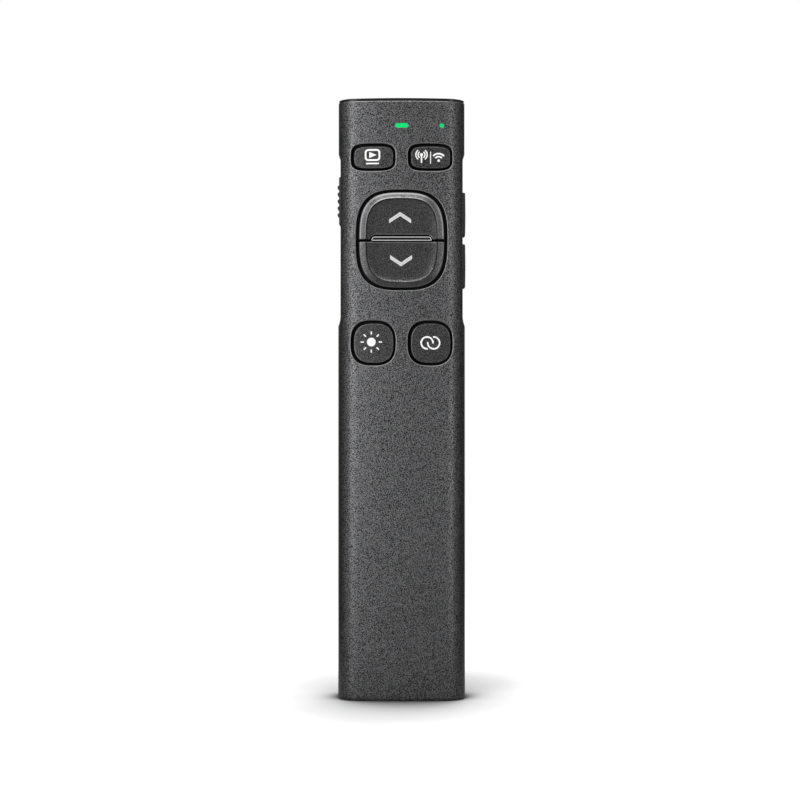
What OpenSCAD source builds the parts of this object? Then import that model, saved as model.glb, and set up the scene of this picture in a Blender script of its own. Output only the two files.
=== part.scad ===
// Wireless presentation clicker, millimetres, +Z along its length, front towards -Y.
// The origin is the middle of the flat foot that it stands on.

/* [Body] */
// Overall length, foot to end window
body_l = 150; // [140:1:170]
// Depth of the housing, front to back
body_d = 15; // [14:0.1:16.4]
// Width at the foot
foot_w = 31.9; // [31.9:0.1:32.6]
// Width just under the lower step
grip_w = 31.8; // [31.5:0.05:31.9]
// Width of the waist between the steps
waist_w = 30.6; // [30.5:0.1:31.2]
// Width at the top end
top_w = 31.55; // [31.3:0.05:31.8]
// Distance of the lower step's wide end from the top
low_step_drop = 56.6; // [55:0.1:58]
// Length of the lower step
low_step_l = 2.6; // [2:0.1:4]
// Distance of the upper step's wide end from the top
high_step_drop = 13.5; // [13:0.1:14.6]
// Length of the upper step
high_step_l = 1.8; // [1.2:0.1:2.6]
// Outer radius of the long edges
edge_r = 5; // [4.6:0.1:5.4]
// Radius of the slight crown on the front and back
crown_r = 100; // [90:5:200]
// Radius round the foot
foot_r = 0.8; // [0.5:0.1:1.2]

/* [Walls] */
// Thickness of the front and back walls
wall = 1.4; // [1.2:0.05:1.5]
// Thickness of the side walls at the waist
side_wall = 1.3; // [1.1:0.05:1.4]
// Inside radius of the long edges
inner_r = 2.6; // [2.2:0.1:2.8]
// Thickness of the tail wall
tail_wall = 1.6; // [1.2:0.1:2]
// Height of the lip on the rear shell
lip_h = 0.7; // [0.5:0.1:0.9]
// Thickness of the lip on the rear shell
lip_t = 0.6; // [0.4:0.05:0.7]

/* [End window] */
// Visible thickness of the end window
window_t = 0.6; // [0.4:0.1:1]
// Radius of the slight arch across the end window
arch_r = 900; // [300:50:1500]
// How far the end window stands in from the housing
window_inset = 0.15; // [0.1:0.05:0.5]
// Depth of the skirt that locates the end window
skirt_l = 2.1; // [1.4:0.1:2.2]
// Thickness of that skirt
skirt_t = 1; // [0.7:0.1:1.3]
// Radius of the aperture in the end window
aperture_r = 1.6; // [1:0.1:2]

/* [Small keys] */
// Distance of the small keys from the middle
key_x = 7.1; // [6.9:0.05:7.2]
// Distance of the upper pair of keys from the top
top_key_drop = 14.7; // [13.6:0.1:14.9]
// Width of the openings of the upper pair
top_key_w = 11.1; // [10.6:0.1:11.2]
// Height of the openings of the upper pair
top_key_h = 6.8; // [6.2:0.1:7]
// Squareness of the upper pair's outline
top_key_n = 3.6; // [2.6:0.1:5]
// Distance of the lower pair of keys from the top
low_key_drop = 60.9; // [60:0.1:64]
// Width and height of the openings of the lower pair
low_key_w = 11.2; // [10.4:0.1:11.3]
// Squareness of the lower pair's outline
low_key_n = 2.7; // [2.2:0.1:4]
// Gap round each small key
key_gap = 0.35; // [0.25:0.05:0.5]
// How far the small keys lie under the surface
key_sink = 0.15; // [0.05:0.05:0.4]

/* [Page pad] */
// Distance of the middle of the pad opening from the top
pad_drop = 35.3; // [35:0.1:36]
// Width of the pad opening
pad_w = 22.8; // [22:0.1:23]
// Height of the pad opening
pad_h = 25; // [24.4:0.1:25.2]
// Squareness of the pad's outline
pad_n = 3; // [2.6:0.1:4]
// Gap at the sides of the pad
pad_gap_x = 0.75; // [0.5:0.05:1]
// Gap above and below the pad
pad_gap_z = 0.55; // [0.4:0.05:0.8]
// Width of the bevelled rim
rim_w = 1.5; // [1:0.1:2]
// Height of the bevelled rim
rim_h = 0.75; // [0.5:0.05:0.9]
// How far the outer edge of the rim lies under the surface
rim_sink = 0.2; // [0:0.05:0.4]
// Radius of the dished face
dish_r = 90; // [85:1:120]
// Depth of the dish at the middle of the face
dish_depth = 0.55; // [0.4:0.05:0.65]
// Gap between the two page keys
split_gap = 0.35; // [0.25:0.05:0.5]
// Length of the divider bar
bar_l = 15.4; // [13:0.1:16]
// Height of the divider bar
bar_h = 1.2; // [1:0.1:1.5]
// How far the divider bar lies under the rim
bar_sink = 0.35; // [0.2:0.05:0.45]
// Gap between the bar and the upper page key
bar_gap = 0.3; // [0.2:0.05:0.45]

/* [Side keys] */
// Distance of the lower end of the volume down key from the top
side_key_drop = 46.9; // [46.6:0.1:48]
// Length of each side key
side_key_l = 11.1; // [10:0.1:12]
// Gap between the two side keys
side_key_space = 1.9; // [1.6:0.1:2.6]
// Width of each side key
side_key_w = 4.2; // [3.6:0.1:4.5]
// How far the side keys stand proud of the waist
side_key_proud = 0.8; // [0.5:0.05:0.9]
// Gap round each side key
side_gap = 0.2; // [0.15:0.05:0.25]

/* [Power slide] */
// Distance of the knob's lower end from the top, switched on
slide_drop = 31; // [31:0.1:34]
// Length of the knob
slide_l = 12.1; // [11:0.1:13]
// Width of the knob
slide_w = 4.4; // [3.6:0.1:4.8]
// How far the knob's base stands proud of the waist
slide_proud = 0.45; // [0.3:0.05:0.6]
// How far the ridges stand proud of the base
ridge_h = 0.4; // [0.2:0.05:0.5]
// Number of ridges
ridge_count = 5; // [3:1:6]
// Distance between ridges
ridge_pitch = 1.74; // [1.4:0.02:1.9]
// Travel of the knob
slide_travel = 2; // [1.6:0.1:2.2]

/* [Indicators] */
// Distance of the indicator lights from the top
light_drop = 6.8; // [6:0.1:7.2]
// Length of the status light
status_l = 3.25; // [2.5:0.05:4]
// Height of the status light
status_h = 1.1; // [0.9:0.05:1.4]
// Distance of the link light from the middle
link_light_x = 10; // [9.6:0.1:10.2]
// Radius of the link light
link_light_r = 0.54; // [0.4:0.02:0.7]

/* [Circuit board] */
// Distance from the front wall to the board
board_drop_y = 4.3; // [4.2:0.05:4.4]
// Thickness of the board
board_t = 1; // [0.9:0.05:1.05]
// Width of the board behind the keys
board_w = 22.6; // [21.6:0.1:23]
// Width of the board in the tail
board_tail_w = 14; // [12:0.2:14.2]
// Distance from the top to where the board narrows to its tail
board_neck_drop = 69; // [66:0.5:71]
// Gap between the board's upper end and the end window's skirt
board_top_gap = 0.5; // [0.3:0.1:1]
// Travel of every key
key_travel = 0.4; // [0.3:0.05:0.5]
// Width of a key switch
switch_w = 4.5; // [4:0.1:5]
// Height of a key switch
switch_h = 1.4; // [1.2:0.05:1.45]
// Radius of a key switch's stem
stem_r = 0.9; // [0.7:0.05:1.1]

/* [Emitter] */
// Radius of the emitter barrel
barrel_r = 2.9; // [2.6:0.05:3]
// Length of the emitter barrel
barrel_l = 12.6; // [11:0.1:13]
// Thickness of the emitter lens
lens_t = 1.3; // [1:0.1:1.6]

/* [Cell] */
// Width of the cell
cell_w = 20; // [18:0.5:21]
// Length of the cell
cell_l = 40; // [36:0.5:42]
// Gap between the board and the cell
cell_gap = 1.2; // [0.8:0.1:1.8]
// Thickness of the tape under the cell
tape_t = 0.3; // [0.2:0.05:0.4]

/* [Screws] */
// Distance of the screws from the middle
screw_x = 9.5; // [9.3:0.05:9.6]
// Distance from the receiver's bay to the lower pair of screws
low_screw_gap = 3.6; // [3.4:0.1:5]
// Radius of a screw's shank
screw_r = 1; // [0.8:0.05:1.05]
// Radius of a screw's head
head_r = 1.8; // [1.6:0.05:1.9]
// Height of a screw's head
head_h = 1.3; // [1:0.1:1.6]
// Length of a screw under its head
screw_l = 7; // [6:0.5:7.5]

/* [Charging port] */
// Width of the port's metal shell
port_w = 8.94; // [8.8:0.02:9]
// Height of the port's metal shell
port_h = 3.16; // [3.1:0.02:3.2]
// Length of the port's metal shell
port_l = 7.3; // [6.8:0.1:7.6]
// Wall of the port's metal shell
port_wall = 0.3; // [0.2:0.05:0.35]

/* [Receiver] */
// Width of the receiver's cap
cap_w = 14.4; // [13.4:0.1:14.6]
// Length of the receiver's cap
cap_l = 6.6; // [6:0.1:6.8]
// Width of the receiver's plug
plug_w = 12; // [11.8:0.05:12.1]
// Thickness of the receiver's plug
plug_t = 4.5; // [4.4:0.05:4.6]
// Length of the receiver's plug
plug_l = 12; // [11.6:0.1:12.2]
// Height of the lower end of the receiver's bay
bay_z = 12.2; // [12:0.1:12.4]
// Wall round the receiver's bay
bay_wall = 0.9; // [0.8:0.05:1]
// Gap between the board and the receiver's bay
bay_board_gap = 0.8; // [0.5:0.1:1]
// Gap round the receiver in its bay
bay_gap = 0.2; // [0.15:0.05:0.3]

/* [Hidden] */

far = 100;                              // longer than any cut needs
fit = 0.1;                              // gap between pieces that sit in each other
slip = 0.05;                            // radial clearance of a screw in its boss
fuse = 0.2;                             // overlap of features moulded in one piece
hair = 0.001;                           // the round edges stand this far out of the crowns
lip_end = 3;                            // from the ends of the lip to the side controls
outline_n = 48;                         // corners on each key outline
arch_n = 10;                            // flats on each half of the end window's arch
half_d = body_d / 2;
shell_l = body_l - window_t;
in_half_w = waist_w / 2 - side_wall;
in_half_d = half_d - wall;
low_step_z = body_l - low_step_drop;
high_step_z = body_l - high_step_drop;
top_key_z = body_l - top_key_drop;
low_key_z = body_l - low_key_drop;
pad_z = body_l - pad_drop;
light_z = body_l - light_drop;
board_y = board_drop_y - in_half_d;
board_back = board_y + board_t;
board_top = shell_l - skirt_l - board_top_gap;
board_neck_z = body_l - board_neck_drop;

// Keys: the flange bears on a collar inside the front wall
collar_back = -in_half_d + 1.1;
collar_t = 0.8;
flange_lip = 0.75;
flange_t = 0.7;
flange_y = collar_back + fit;
flange_back = flange_y + flange_t;
plunger_r = 1.3;
switch_y = board_y - switch_h;          // front of the switch housings
stem_y = switch_y - key_travel - 0.2;   // front of the stems
stem_back = switch_y + 0.6;
page_y = -half_d + rim_sink;            // outer edge of the page keys' rim
pad_key_w = pad_w - 2 * pad_gap_x;
pad_key_h = pad_h - 2 * pad_gap_z;
split_z = pad_z - 0.1;
page_back_z = split_z + pad_h / 4;
page_next_z = split_z - pad_h / 4;
front_keys = [[-key_x, top_key_z], [key_x, top_key_z], [0, page_back_z], [0, page_next_z],
    [-key_x, low_key_z], [key_x, low_key_z]];

// Side controls
side_flange_t = 0.8;
side_flange_x = in_half_w - fit - side_flange_t;
side_flange_lip = 0.6;
side_corner_r = 0.8;
down_key_z = body_l - side_key_drop;
side_keys = [for (i = [1, 0]) down_key_z + side_key_l / 2 + i * (side_key_l + side_key_space)];
side_in_y = board_back + 1.1;           // the middle of the side switches' stems
side_switch_x = side_flange_x - 1.3;    // outer face of the side switches
side_switch_l = 3.4;
side_switch_t = 2.3;
side_stem_r = 0.6;
side_stem_in = 1.4;                     // how far the stems reach into the switches
side_stem_x = side_switch_x + key_travel + 0.3;
side_plunger_r = 0.9;
slide_gap = 0.2;
slide_flange_lip = 0.7;
knob_corner_r = 0.5;
ridge_inset = 0.3;                      // from the knob's front and back
slide_z = body_l - slide_drop;
slide_y = board_back + 1.2;             // the middle of the slide switch's lever
slide_switch_l = 8;
slide_switch_t = 2.4;
lever_w = 1.4;
lever_l = 1.2;
lever_in = 2.2;                         // how far the lever reaches into its switch
prong_t = 1;
slide_mid = slide_z + slide_l / 2;

// Lights and chips on the board
led_w = 1.2;
led_l = 0.8;
led_h = 0.6;
light_sink = 0.02;                      // the light pipes lie just under the surface
pipe_lip = 0.5;
chip_t = 0.9;
controller_z = split_z - 3.6;
controller_w = 5;
motion_z = split_z + 5.4;
motion_w = 3;
charger_z = 30;
charger_w = 3;

// Posts in front of the board and ribs behind it
post_r = 1.1;
post_inset = 1.8;                       // from the board's edges
low_post_z = 22;
mid_post_z = 60;
board_posts = concat(
    [for (sx = [-1, 1], z = [low_post_z, mid_post_z]) [sx * (board_tail_w / 2 - post_inset), z]],
    [for (x = [post_inset - board_w / 2, board_w / 4]) [x, board_top - post_inset]]);
rib_t = 1.2;
clamp_x = 6;
clamp_w = 3;
clamp_heights = [pad_z - 8, top_key_z + 4.9];

// Emitter
emitter_y = board_back + fit / 2 + barrel_r;
barrel_top = shell_l - skirt_l - 0.1;
lens_r = barrel_r - 0.6;
diode_r = lens_r - 0.7;
diode_l = 3;
cradle_w = 1.3;                         // wall of the cradle beside the barrel
cradle_inset = 2;                       // from the ends of the barrel

// Receiver bay
receiver_l = cap_l + plug_l;
bay_w = cap_w + 2 * bay_gap;
bay_l = receiver_l + 2 * bay_gap;
cap_back = half_d - 0.3;
bay_floor = board_back + bay_board_gap + bay_wall;
cap_y = bay_floor + bay_gap;
cap_t = cap_back - cap_y;
cap_z = bay_z + bay_gap;
plug_y = cap_y + cap_t / 2;
cap_corner_r = 1;
plug_wall = 0.3;
tongue_gap = 0.4;                       // from the plug's mouth
notch_w = 7;                            // nail notch below the receiver
notch_r = 3.6;
notch_y = half_d + 0.9;
magnet_w = 6;
magnet_t = 1.4;
magnet_d = 3;
magnet_z = bay_z + bay_l + bay_wall;
magnet_wall = 1;

// Screws
boss_r = screw_r + 1.1;
shoulder_r = boss_r + 0.55;             // the board lies on these shoulders
head_gap = 0.2;
rear_boss_r = head_r + head_gap + 0.9;
seat_y = half_d - 3.7;                  // the screw heads bear here
tip_gap = 0.5;
recess_l = 2.2;                         // cross recess in the screw heads
recess_w = 0.5;
recess_d = 0.7;
low_screw_z = bay_z + bay_l + low_screw_gap;
high_screw_z = low_key_z + low_key_w / 2 + flange_lip + shoulder_r + 0.3;
screw_places = [for (sx = [-1, 1], z = [low_screw_z, high_screw_z]) [sx * screw_x, z]];

// Cell and its tape lie on ribs of the rear shell
cell_z = low_screw_z + rear_boss_r + 0.8;
tape_back = in_half_d - 0.4;
cell_back = tape_back - tape_t;
cell_y = board_back + cell_gap;
lead_y = cell_y + 1;
lead_r = 0.45;
lead_x = 1;
lead_l = 5.5;
battery_plug_w = 6;
battery_plug_t = 3.4;
battery_plug_l = 4;
battery_plug_z = cell_z + cell_l + lead_l;
cell_rib_x = 6;
cell_rib_t = 1;
tape_inset = 2;                         // of the tape from the cell's edges

// Charging port on the back of the board
port_y = board_back + port_h / 2;
port_z = 0.6;
port_back_t = 2;
port_tongue_w = 6.7;
port_tongue_t = 0.7;
port_tongue_gap = 1;                    // from the port's mouth

// --- Profiles and helpers -------------------------------------------------------------

// Outline of the housing across its length: flat-crowned faces blended into round edges
module section(half_w, half_h, r, crown) {
    a = half_w - r;
    rise = sqrt(pow(crown - r, 2) - a * a) - (crown - half_h);
    c = (floor(rise / hair) + 1.5) * hair;
    tangent_x = a * crown / (crown - r);
    square([2 * half_w, 2 * c], center = true);
    for (sx = [-1, 1], sy = [-1, 1])
        translate([sx * a, sy * c]) circle(r, $fn = 96);
    intersection() {
        translate([0, crown - half_h]) circle(crown, $fn = 360);
        translate([0, half_h - crown]) circle(crown, $fn = 360);
        square([2 * tangent_x, 3 * half_h], center = true);
    }
}

// The outer section, taken in by a distance
module outer_section(inset = 0) {
    section(foot_w / 2 - inset, half_d - inset, edge_r - inset, crown_r - inset);
}

// The inner section, taken in by a distance
module inner_section(inset = 0) {
    section(in_half_w - inset, in_half_d - inset, inner_r - inset, crown_r - wall - inset);
}

// Superellipse outline of a key, from its width, height and squareness
function superellipse(w, h, n) = [for (i = [0:outline_n - 1])
    let (t = 360 * i / outline_n, c = cos(t), s = sin(t))
    [w / 2 * sign(c) * pow(abs(c), 2 / n), h / 2 * sign(s) * pow(abs(s), 2 / n)]];

module key_outline(x, z, w, h, n) {
    translate([x, z]) polygon(superellipse(w, h, n));
}

// Bar with round ends, lying along the first axis
module slot_outline(w, h) {
    square([w - h, h], center = true);
    for (s = [-1, 1]) translate([s * (w - h) / 2, 0]) circle(h / 2, $fn = 48);
}

// Rectangle with round corners
module round_box(w, h, r) {
    square([w - 2 * r, h], center = true);
    square([w, h - 2 * r], center = true);
    for (sx = [-1, 1], sy = [-1, 1])
        translate([sx * (w / 2 - r), sy * (h / 2 - r)]) circle(r, $fn = 48);
}

// A profile drawn in x and z, extruded from y0 back to y1
module along_y(y0, y1) {
    translate([0, y1, 0]) rotate([90, 0, 0]) linear_extrude(y1 - y0) children();
}

// A profile drawn in y and z, extruded from x0 to x1
module along_x(x0, x1) {
    translate([x0, 0, 0]) rotate([90, 0, 90]) linear_extrude(x1 - x0) children();
}

// A profile drawn in x and y, extruded from z0 to z1
module along_z(z0, z1) {
    translate([0, 0, z0]) linear_extrude(z1 - z0) children();
}

// Round bar along y
module bar_y(x, z, r, y0, y1) {
    along_y(y0, y1) translate([x, z]) circle(r, $fn = 64);
}

module box(x0, x1, y0, y1, z0, z1) {
    translate([x0, y0, z0]) cube([x1 - x0, y1 - y0, z1 - z0]);
}

// --- Housing --------------------------------------------------------------------------

// One side of the front outline: foot radius, grip, step, waist, step, top
function step_points(z0, z1, x0, x1) = [for (i = [0:6])
    let (t = i / 6) [x1 + (x0 - x1) * pow(1 - t, 2.2), z0 + (z1 - z0) * t]];
function foot_points(half) = [for (a = [-90:15:0])
    [half - foot_r + foot_r * cos(a), foot_r + foot_r * sin(a)]];
side_points = concat(foot_points(foot_w / 2),
    step_points(low_step_z, low_step_z + low_step_l, grip_w / 2, waist_w / 2),
    [for (i = [6:-1:0])
        step_points(high_step_z, high_step_z - high_step_l, top_w / 2, waist_w / 2)[i]],
    [[top_w / 2, shell_l]]);
depth_points = concat(foot_points(half_d), [[half_d, shell_l]]);

module mirrored_outline(points) {
    n = len(points);
    polygon(concat(points, [for (i = [n - 1:-1:0]) [-points[i][0], points[i][1]]]));
}

// The housing without its cavity; the foot is rounded on its front and back too
module body_solid() {
    intersection() {
        along_z(0, shell_l) outer_section();
        along_y(-far, far) mirrored_outline(side_points);
        along_x(-far, far) mirrored_outline(depth_points);
    }
}

module cavity() {
    along_z(tail_wall, body_l) inner_section();
}

// Everything moulded inside a shell stays within this
module inside(z0 = tail_wall) {
    along_z(z0 - fuse, shell_l - skirt_l - fit) inner_section(-fuse);
}

module key_openings(grow = 0) {
    for (s = [-1, 1]) {
        key_outline(s * key_x, top_key_z, top_key_w + grow, top_key_h + grow, top_key_n);
        key_outline(s * key_x, low_key_z, low_key_w + grow, low_key_w + grow, low_key_n);
    }
    key_outline(0, pad_z, pad_w + grow, pad_h + grow, pad_n);
}

// Openings for the side keys and the power slide, cut from both shells
module side_openings() {
    for (z = side_keys)
        along_x(in_half_w - 1, foot_w) translate([0, z])
            round_box(side_key_w + 2 * side_gap, side_key_l + 2 * side_gap,
                side_corner_r + side_gap);
    along_x(-foot_w, 1 - in_half_w) translate([0, slide_mid - slide_travel / 2])
        round_box(slide_w + 2 * slide_gap, slide_l + slide_travel + 2 * slide_gap,
            knob_corner_r + slide_gap);
}

// Opening for the charging plug, cut from both shells
module port_opening() {
    along_z(-1, tail_wall + 1) translate([0, port_y])
        slot_outline(port_w + 2 * fit, port_h + 2 * fit);
}

// The lip along the side walls, below and above the side controls
module side_lip(clear = 0) {
    low = [tail_wall + 1.4, down_key_z - lip_end];
    high = [slide_z + slide_l + slide_travel + lip_end, shell_l - skirt_l - 1];
    for (s = [-1, 1], span = [low, high])
        translate([s * (in_half_w + lip_t / 2), 0, 0])
            box(-lip_t / 2 - clear, lip_t / 2 + clear, -lip_h - clear, fuse / 2,
                span[0] - clear, span[1] + clear);
}

module front_shell() {
    color([0.20, 0.20, 0.21]) difference() {
        union() {
            difference() {
                body_solid();
                cavity();
            }
            intersection() {
                inside();
                union() {
                    along_y(-half_d, collar_back) key_openings(2 * collar_t);
                    for (p = screw_places) {
                        bar_y(p[0], p[1], boss_r, -half_d, 0);
                        bar_y(p[0], p[1], shoulder_r, -half_d, board_y);
                    }
                    for (p = board_posts) bar_y(p[0], p[1], post_r, -half_d, board_y);
                }
            }
        }
        box(-far, far, 0, far, -1, far + body_l);
        along_y(-far, collar_back + 1) key_openings();
        side_openings();
        port_opening();
        for (p = screw_places) bar_y(p[0], p[1], screw_r + slip, seat_y - screw_l - tip_gap, 1);
        along_y(-far, 0) translate([0, light_z])
            slot_outline(status_l + fit, status_h + fit);
        bar_y(link_light_x, light_z, link_light_r + fit / 2, -far, 0);
        side_lip(slip);
    }
}

// The walls of the receiver bay and the block under its nail notch
module bay_tub() {
    box(-bay_w / 2 - bay_wall, bay_w / 2 + bay_wall, bay_floor - bay_wall, half_d,
        bay_z - bay_wall, bay_z + bay_l + bay_wall);
    box(-notch_w / 2 - bay_wall, notch_w / 2 + bay_wall, notch_y - notch_r - bay_wall, half_d,
        bay_z - notch_r - bay_wall, bay_z);
    box(-magnet_w / 2 - magnet_wall, magnet_w / 2 + magnet_wall,
        plug_y - magnet_d / 2 - magnet_wall, half_d,
        magnet_z - fuse, magnet_z + magnet_t + magnet_wall);
}

// What the receiver bay takes out of the rear shell
module bay_space() {
    box(-bay_w / 2, bay_w / 2, bay_floor, far, bay_z, bay_z + bay_l);
    along_x(-notch_w / 2, notch_w / 2) translate([notch_y, bay_z]) circle(notch_r, $fn = 64);
    box(-magnet_w / 2 - fit / 2, magnet_w / 2 + fit / 2, -1, plug_y + magnet_d / 2 + fit / 2,
        magnet_z - fit, magnet_z + magnet_t + fit / 2);
}

// Ribs that carry the cell, clamp the board and cradle the emitter
module rear_ribs() {
    for (s = [-1, 1]) {
        box(s * cell_rib_x - cell_rib_t / 2, s * cell_rib_x + cell_rib_t / 2, tape_back, half_d,
            cell_z + tape_inset, cell_z + cell_l - tape_inset);
        for (z = clamp_heights)
            box(s * clamp_x - clamp_w / 2, s * clamp_x + clamp_w / 2, board_back, half_d,
                z - rib_t / 2, z + rib_t / 2);
    }
    for (z = [barrel_top - barrel_l + cradle_inset, barrel_top - cradle_inset - rib_t])
        box(-barrel_r - cradle_w, barrel_r + cradle_w, emitter_y, half_d, z, z + rib_t);
}

module rear_shell() {
    color([0.20, 0.20, 0.21]) difference() {
        union() {
            difference() {
                body_solid();
                cavity();
                box(-far, far, -far, 0, -1, far + body_l);
            }
            intersection() {
                inside();
                union() {
                    bay_tub();
                    rear_ribs();
                    for (p = screw_places) bar_y(p[0], p[1], rear_boss_r, 0, half_d);
                }
            }
            side_lip();
        }
        bay_space();
        side_openings();
        port_opening();
        for (p = screw_places) {
            bar_y(p[0], p[1], head_r + head_gap, seat_y, far);
            bar_y(p[0], p[1], screw_r + 3 * slip, -1, seat_y + 1);
        }
        translate([0, emitter_y, barrel_top - barrel_l - fit])
            cylinder(r = barrel_r + slip, h = barrel_l + 2 * fit, $fn = 96);
    }
}

// Side view of the end window's outer face, a shallow arch in short flats
arch_points = [for (i = [-arch_n:arch_n])
    let (x = i / arch_n * top_w / 2) [x, body_l - arch_r + sqrt(arch_r * arch_r - x * x)]];

module end_window() {
    color([0.03, 0.03, 0.03]) difference() {
        union() {
            intersection() {
                along_z(shell_l, body_l) outer_section(window_inset);
                box(window_inset - top_w / 2, top_w / 2 - window_inset, -far, far, 0, far * 2);
                along_y(-far, far)
                    polygon(concat([[-top_w / 2, 0]], arch_points, [[top_w / 2, 0]]));
            }
            along_z(shell_l - skirt_l, shell_l) difference() {
                inner_section(fit);
                inner_section(fit + skirt_t);
            }
        }
        translate([0, emitter_y, shell_l - 1]) cylinder(r = aperture_r, h = 3, $fn = 64);
    }
}

// --- Keys -----------------------------------------------------------------------------

// Flange and plunger common to the keys on the front
module key_foot(x, z, w, h, n) {
    intersection() {
        along_y(flange_y, flange_back)
            key_outline(x, z, w + 2 * flange_lip, h + 2 * flange_lip, n);
        along_z(0, body_l) inner_section(fit);
    }
    bar_y(x, z, plunger_r, flange_back - fuse, stem_y);
}

// A small key, whose face follows the crown of the housing
module small_key(x, z, w, h, n) {
    intersection() {
        along_y(-far, flange_y + fuse)
            key_outline(x, z, w - 2 * key_gap, h - 2 * key_gap, n);
        along_z(0, body_l) outer_section(key_sink);
    }
    key_foot(x, z, w, h, n);
}

module play_key() {
    color([0.25, 0.25, 0.26]) small_key(-key_x, top_key_z, top_key_w, top_key_h, top_key_n);
}

module mode_key() {
    color([0.25, 0.25, 0.26]) small_key(key_x, top_key_z, top_key_w, top_key_h, top_key_n);
}

module spotlight_key() {
    color([0.25, 0.25, 0.26]) small_key(-key_x, low_key_z, low_key_w, low_key_w, low_key_n);
}

module link_key() {
    color([0.25, 0.25, 0.26]) small_key(key_x, low_key_z, low_key_w, low_key_w, low_key_n);
}

// The whole pad before it is split: neck, bevelled rim and dished face
module pad_body() {
    rim_scale = [1 - 2 * rim_w / pad_key_w, 1 - 2 * rim_w / pad_key_h];
    difference() {
        union() {
            along_y(page_y, flange_y + fuse)
                key_outline(0, pad_z, pad_key_w, pad_key_h, pad_n);
            translate([0, page_y, pad_z]) rotate([90, 0, 0])
                linear_extrude(rim_h, scale = rim_scale)
                    polygon(superellipse(pad_key_w, pad_key_h, pad_n));
        }
        translate([0, page_y - rim_h + dish_depth - dish_r, pad_z]) sphere(dish_r, $fn = 360);
    }
    intersection() {
        along_y(flange_y, flange_back)
            key_outline(0, pad_z, pad_w + 2 * flange_lip, pad_h + 2 * flange_lip, pad_n);
        along_z(0, body_l) inner_section(fit);
    }
}

// The notch in the upper key, a trapezoid with its long side on the split
module bar_outline(grow) {
    base = bar_l / 2 + grow;
    top = bar_l / 2 - bar_h * 0.8 + grow * 0.7;
    polygon([[-base, split_z], [base, split_z], [top, split_z + bar_h + grow],
        [-top, split_z + bar_h + grow]]);
}

module page_back_key() {
    color([0.22, 0.22, 0.23]) {
        difference() {
            pad_body();
            box(-far, far, -far, far, 0, split_z + split_gap / 2);
            along_y(-far, far) bar_outline(bar_gap);
        }
        bar_y(0, page_back_z, plunger_r, flange_back - fuse, stem_y);
    }
}

module page_next_key() {
    color([0.22, 0.22, 0.23]) {
        difference() {
            pad_body();
            box(-far, far, -far, far, split_z - split_gap / 2, far * 2);
        }
        bar_y(0, page_next_z, plunger_r, flange_back - fuse, stem_y);
    }
}

// The bar stands on the board and shows between the page keys
module divider_bar() {
    color([0.05, 0.05, 0.05]) along_y(page_y - rim_h + bar_sink, board_y)
        bar_outline(0);
}

// Key in the right side: cap, flange and plunger
module side_key(i) {
    color([0.08, 0.08, 0.08]) {
        along_x(side_flange_x, waist_w / 2 + side_key_proud) translate([0, side_keys[i]])
            round_box(side_key_w, side_key_l, side_corner_r);
        along_x(side_flange_x, side_flange_x + side_flange_t) translate([0, side_keys[i]])
            round_box(side_key_w + 2 * side_flange_lip, side_key_l + 2 * side_flange_lip,
                side_corner_r);
        along_x(side_stem_x, side_flange_x + fuse) translate([side_in_y, side_keys[i]])
            circle(side_plunger_r, $fn = 48);
    }
}

module power_slide() {
    base_x = -waist_w / 2 - slide_proud;
    flange_lap = slide_travel + 2 * slide_gap + 0.5;
    ridge_start = slide_mid - ridge_pitch * (ridge_count - 1) / 2;
    color([0.08, 0.08, 0.08]) {
        along_x(base_x, -side_flange_x) translate([0, slide_mid])
            round_box(slide_w, slide_l, knob_corner_r);
        for (i = [0:ridge_count - 1])
            intersection() {
                along_y(ridge_inset - slide_w / 2, slide_w / 2 - ridge_inset)
                    translate([base_x, ridge_start + i * ridge_pitch])
                        circle(ridge_h, $fn = 32);
                box(-far, base_x + fuse, -far, far, 0, body_l);
            }
        box(-side_flange_x - side_flange_t, -side_flange_x, -slide_w / 2 - slide_flange_lip,
            slide_w / 2 + slide_flange_lip, slide_z - flange_lap, slide_z + slide_l + flange_lap);
        for (s = [-1, 1])
            translate([0, slide_y, slide_mid + s * (lever_w / 2 + fit + prong_t / 2)])
                box(-side_flange_x - fuse, -side_switch_x - 3 * fit, -lever_l / 2 - fuse,
                    lever_l / 2 + fuse, -prong_t / 2, prong_t / 2);
    }
}

// --- Light pipes ----------------------------------------------------------------------

module status_light_pipe() {
    color([0.1, 0.8, 0.45]) translate([0, 0, light_z]) {
        along_y(-half_d + light_sink, board_y - led_h - fit) slot_outline(status_l, status_h);
        along_y(-in_half_d + fit, -in_half_d + 0.9)
            slot_outline(status_l + 2 * pipe_lip, status_h + 2 * pipe_lip);
    }
}

module link_light_pipe() {
    color([0.1, 0.8, 0.45]) {
        intersection() {
            bar_y(link_light_x, light_z, link_light_r, -far, board_y - led_h - fit);
            along_z(0, body_l) outer_section(light_sink);
        }
        intersection() {
            bar_y(link_light_x, light_z, link_light_r + pipe_lip, -far, -in_half_d + 1.3);
            along_z(0, body_l) inner_section(fit);
        }
    }
}

// --- Electronics ----------------------------------------------------------------------

module circuit_board() {
    color([0.05, 0.25, 0.12]) along_y(board_y, board_back) difference() {
        union() {
            translate([-board_w / 2, board_neck_z]) square([board_w, board_top - board_neck_z]);
            translate([-board_tail_w / 2, tail_wall + fit])
                square([board_tail_w, board_neck_z - tail_wall]);
        }
        for (p = screw_places) {
            translate(p) circle(boss_r + fit, $fn = 64);
            translate([p[0] * 2, p[1]]) square([screw_x * 2, 2 * boss_r + 2 * fit], center = true);
        }
    }
}

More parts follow.
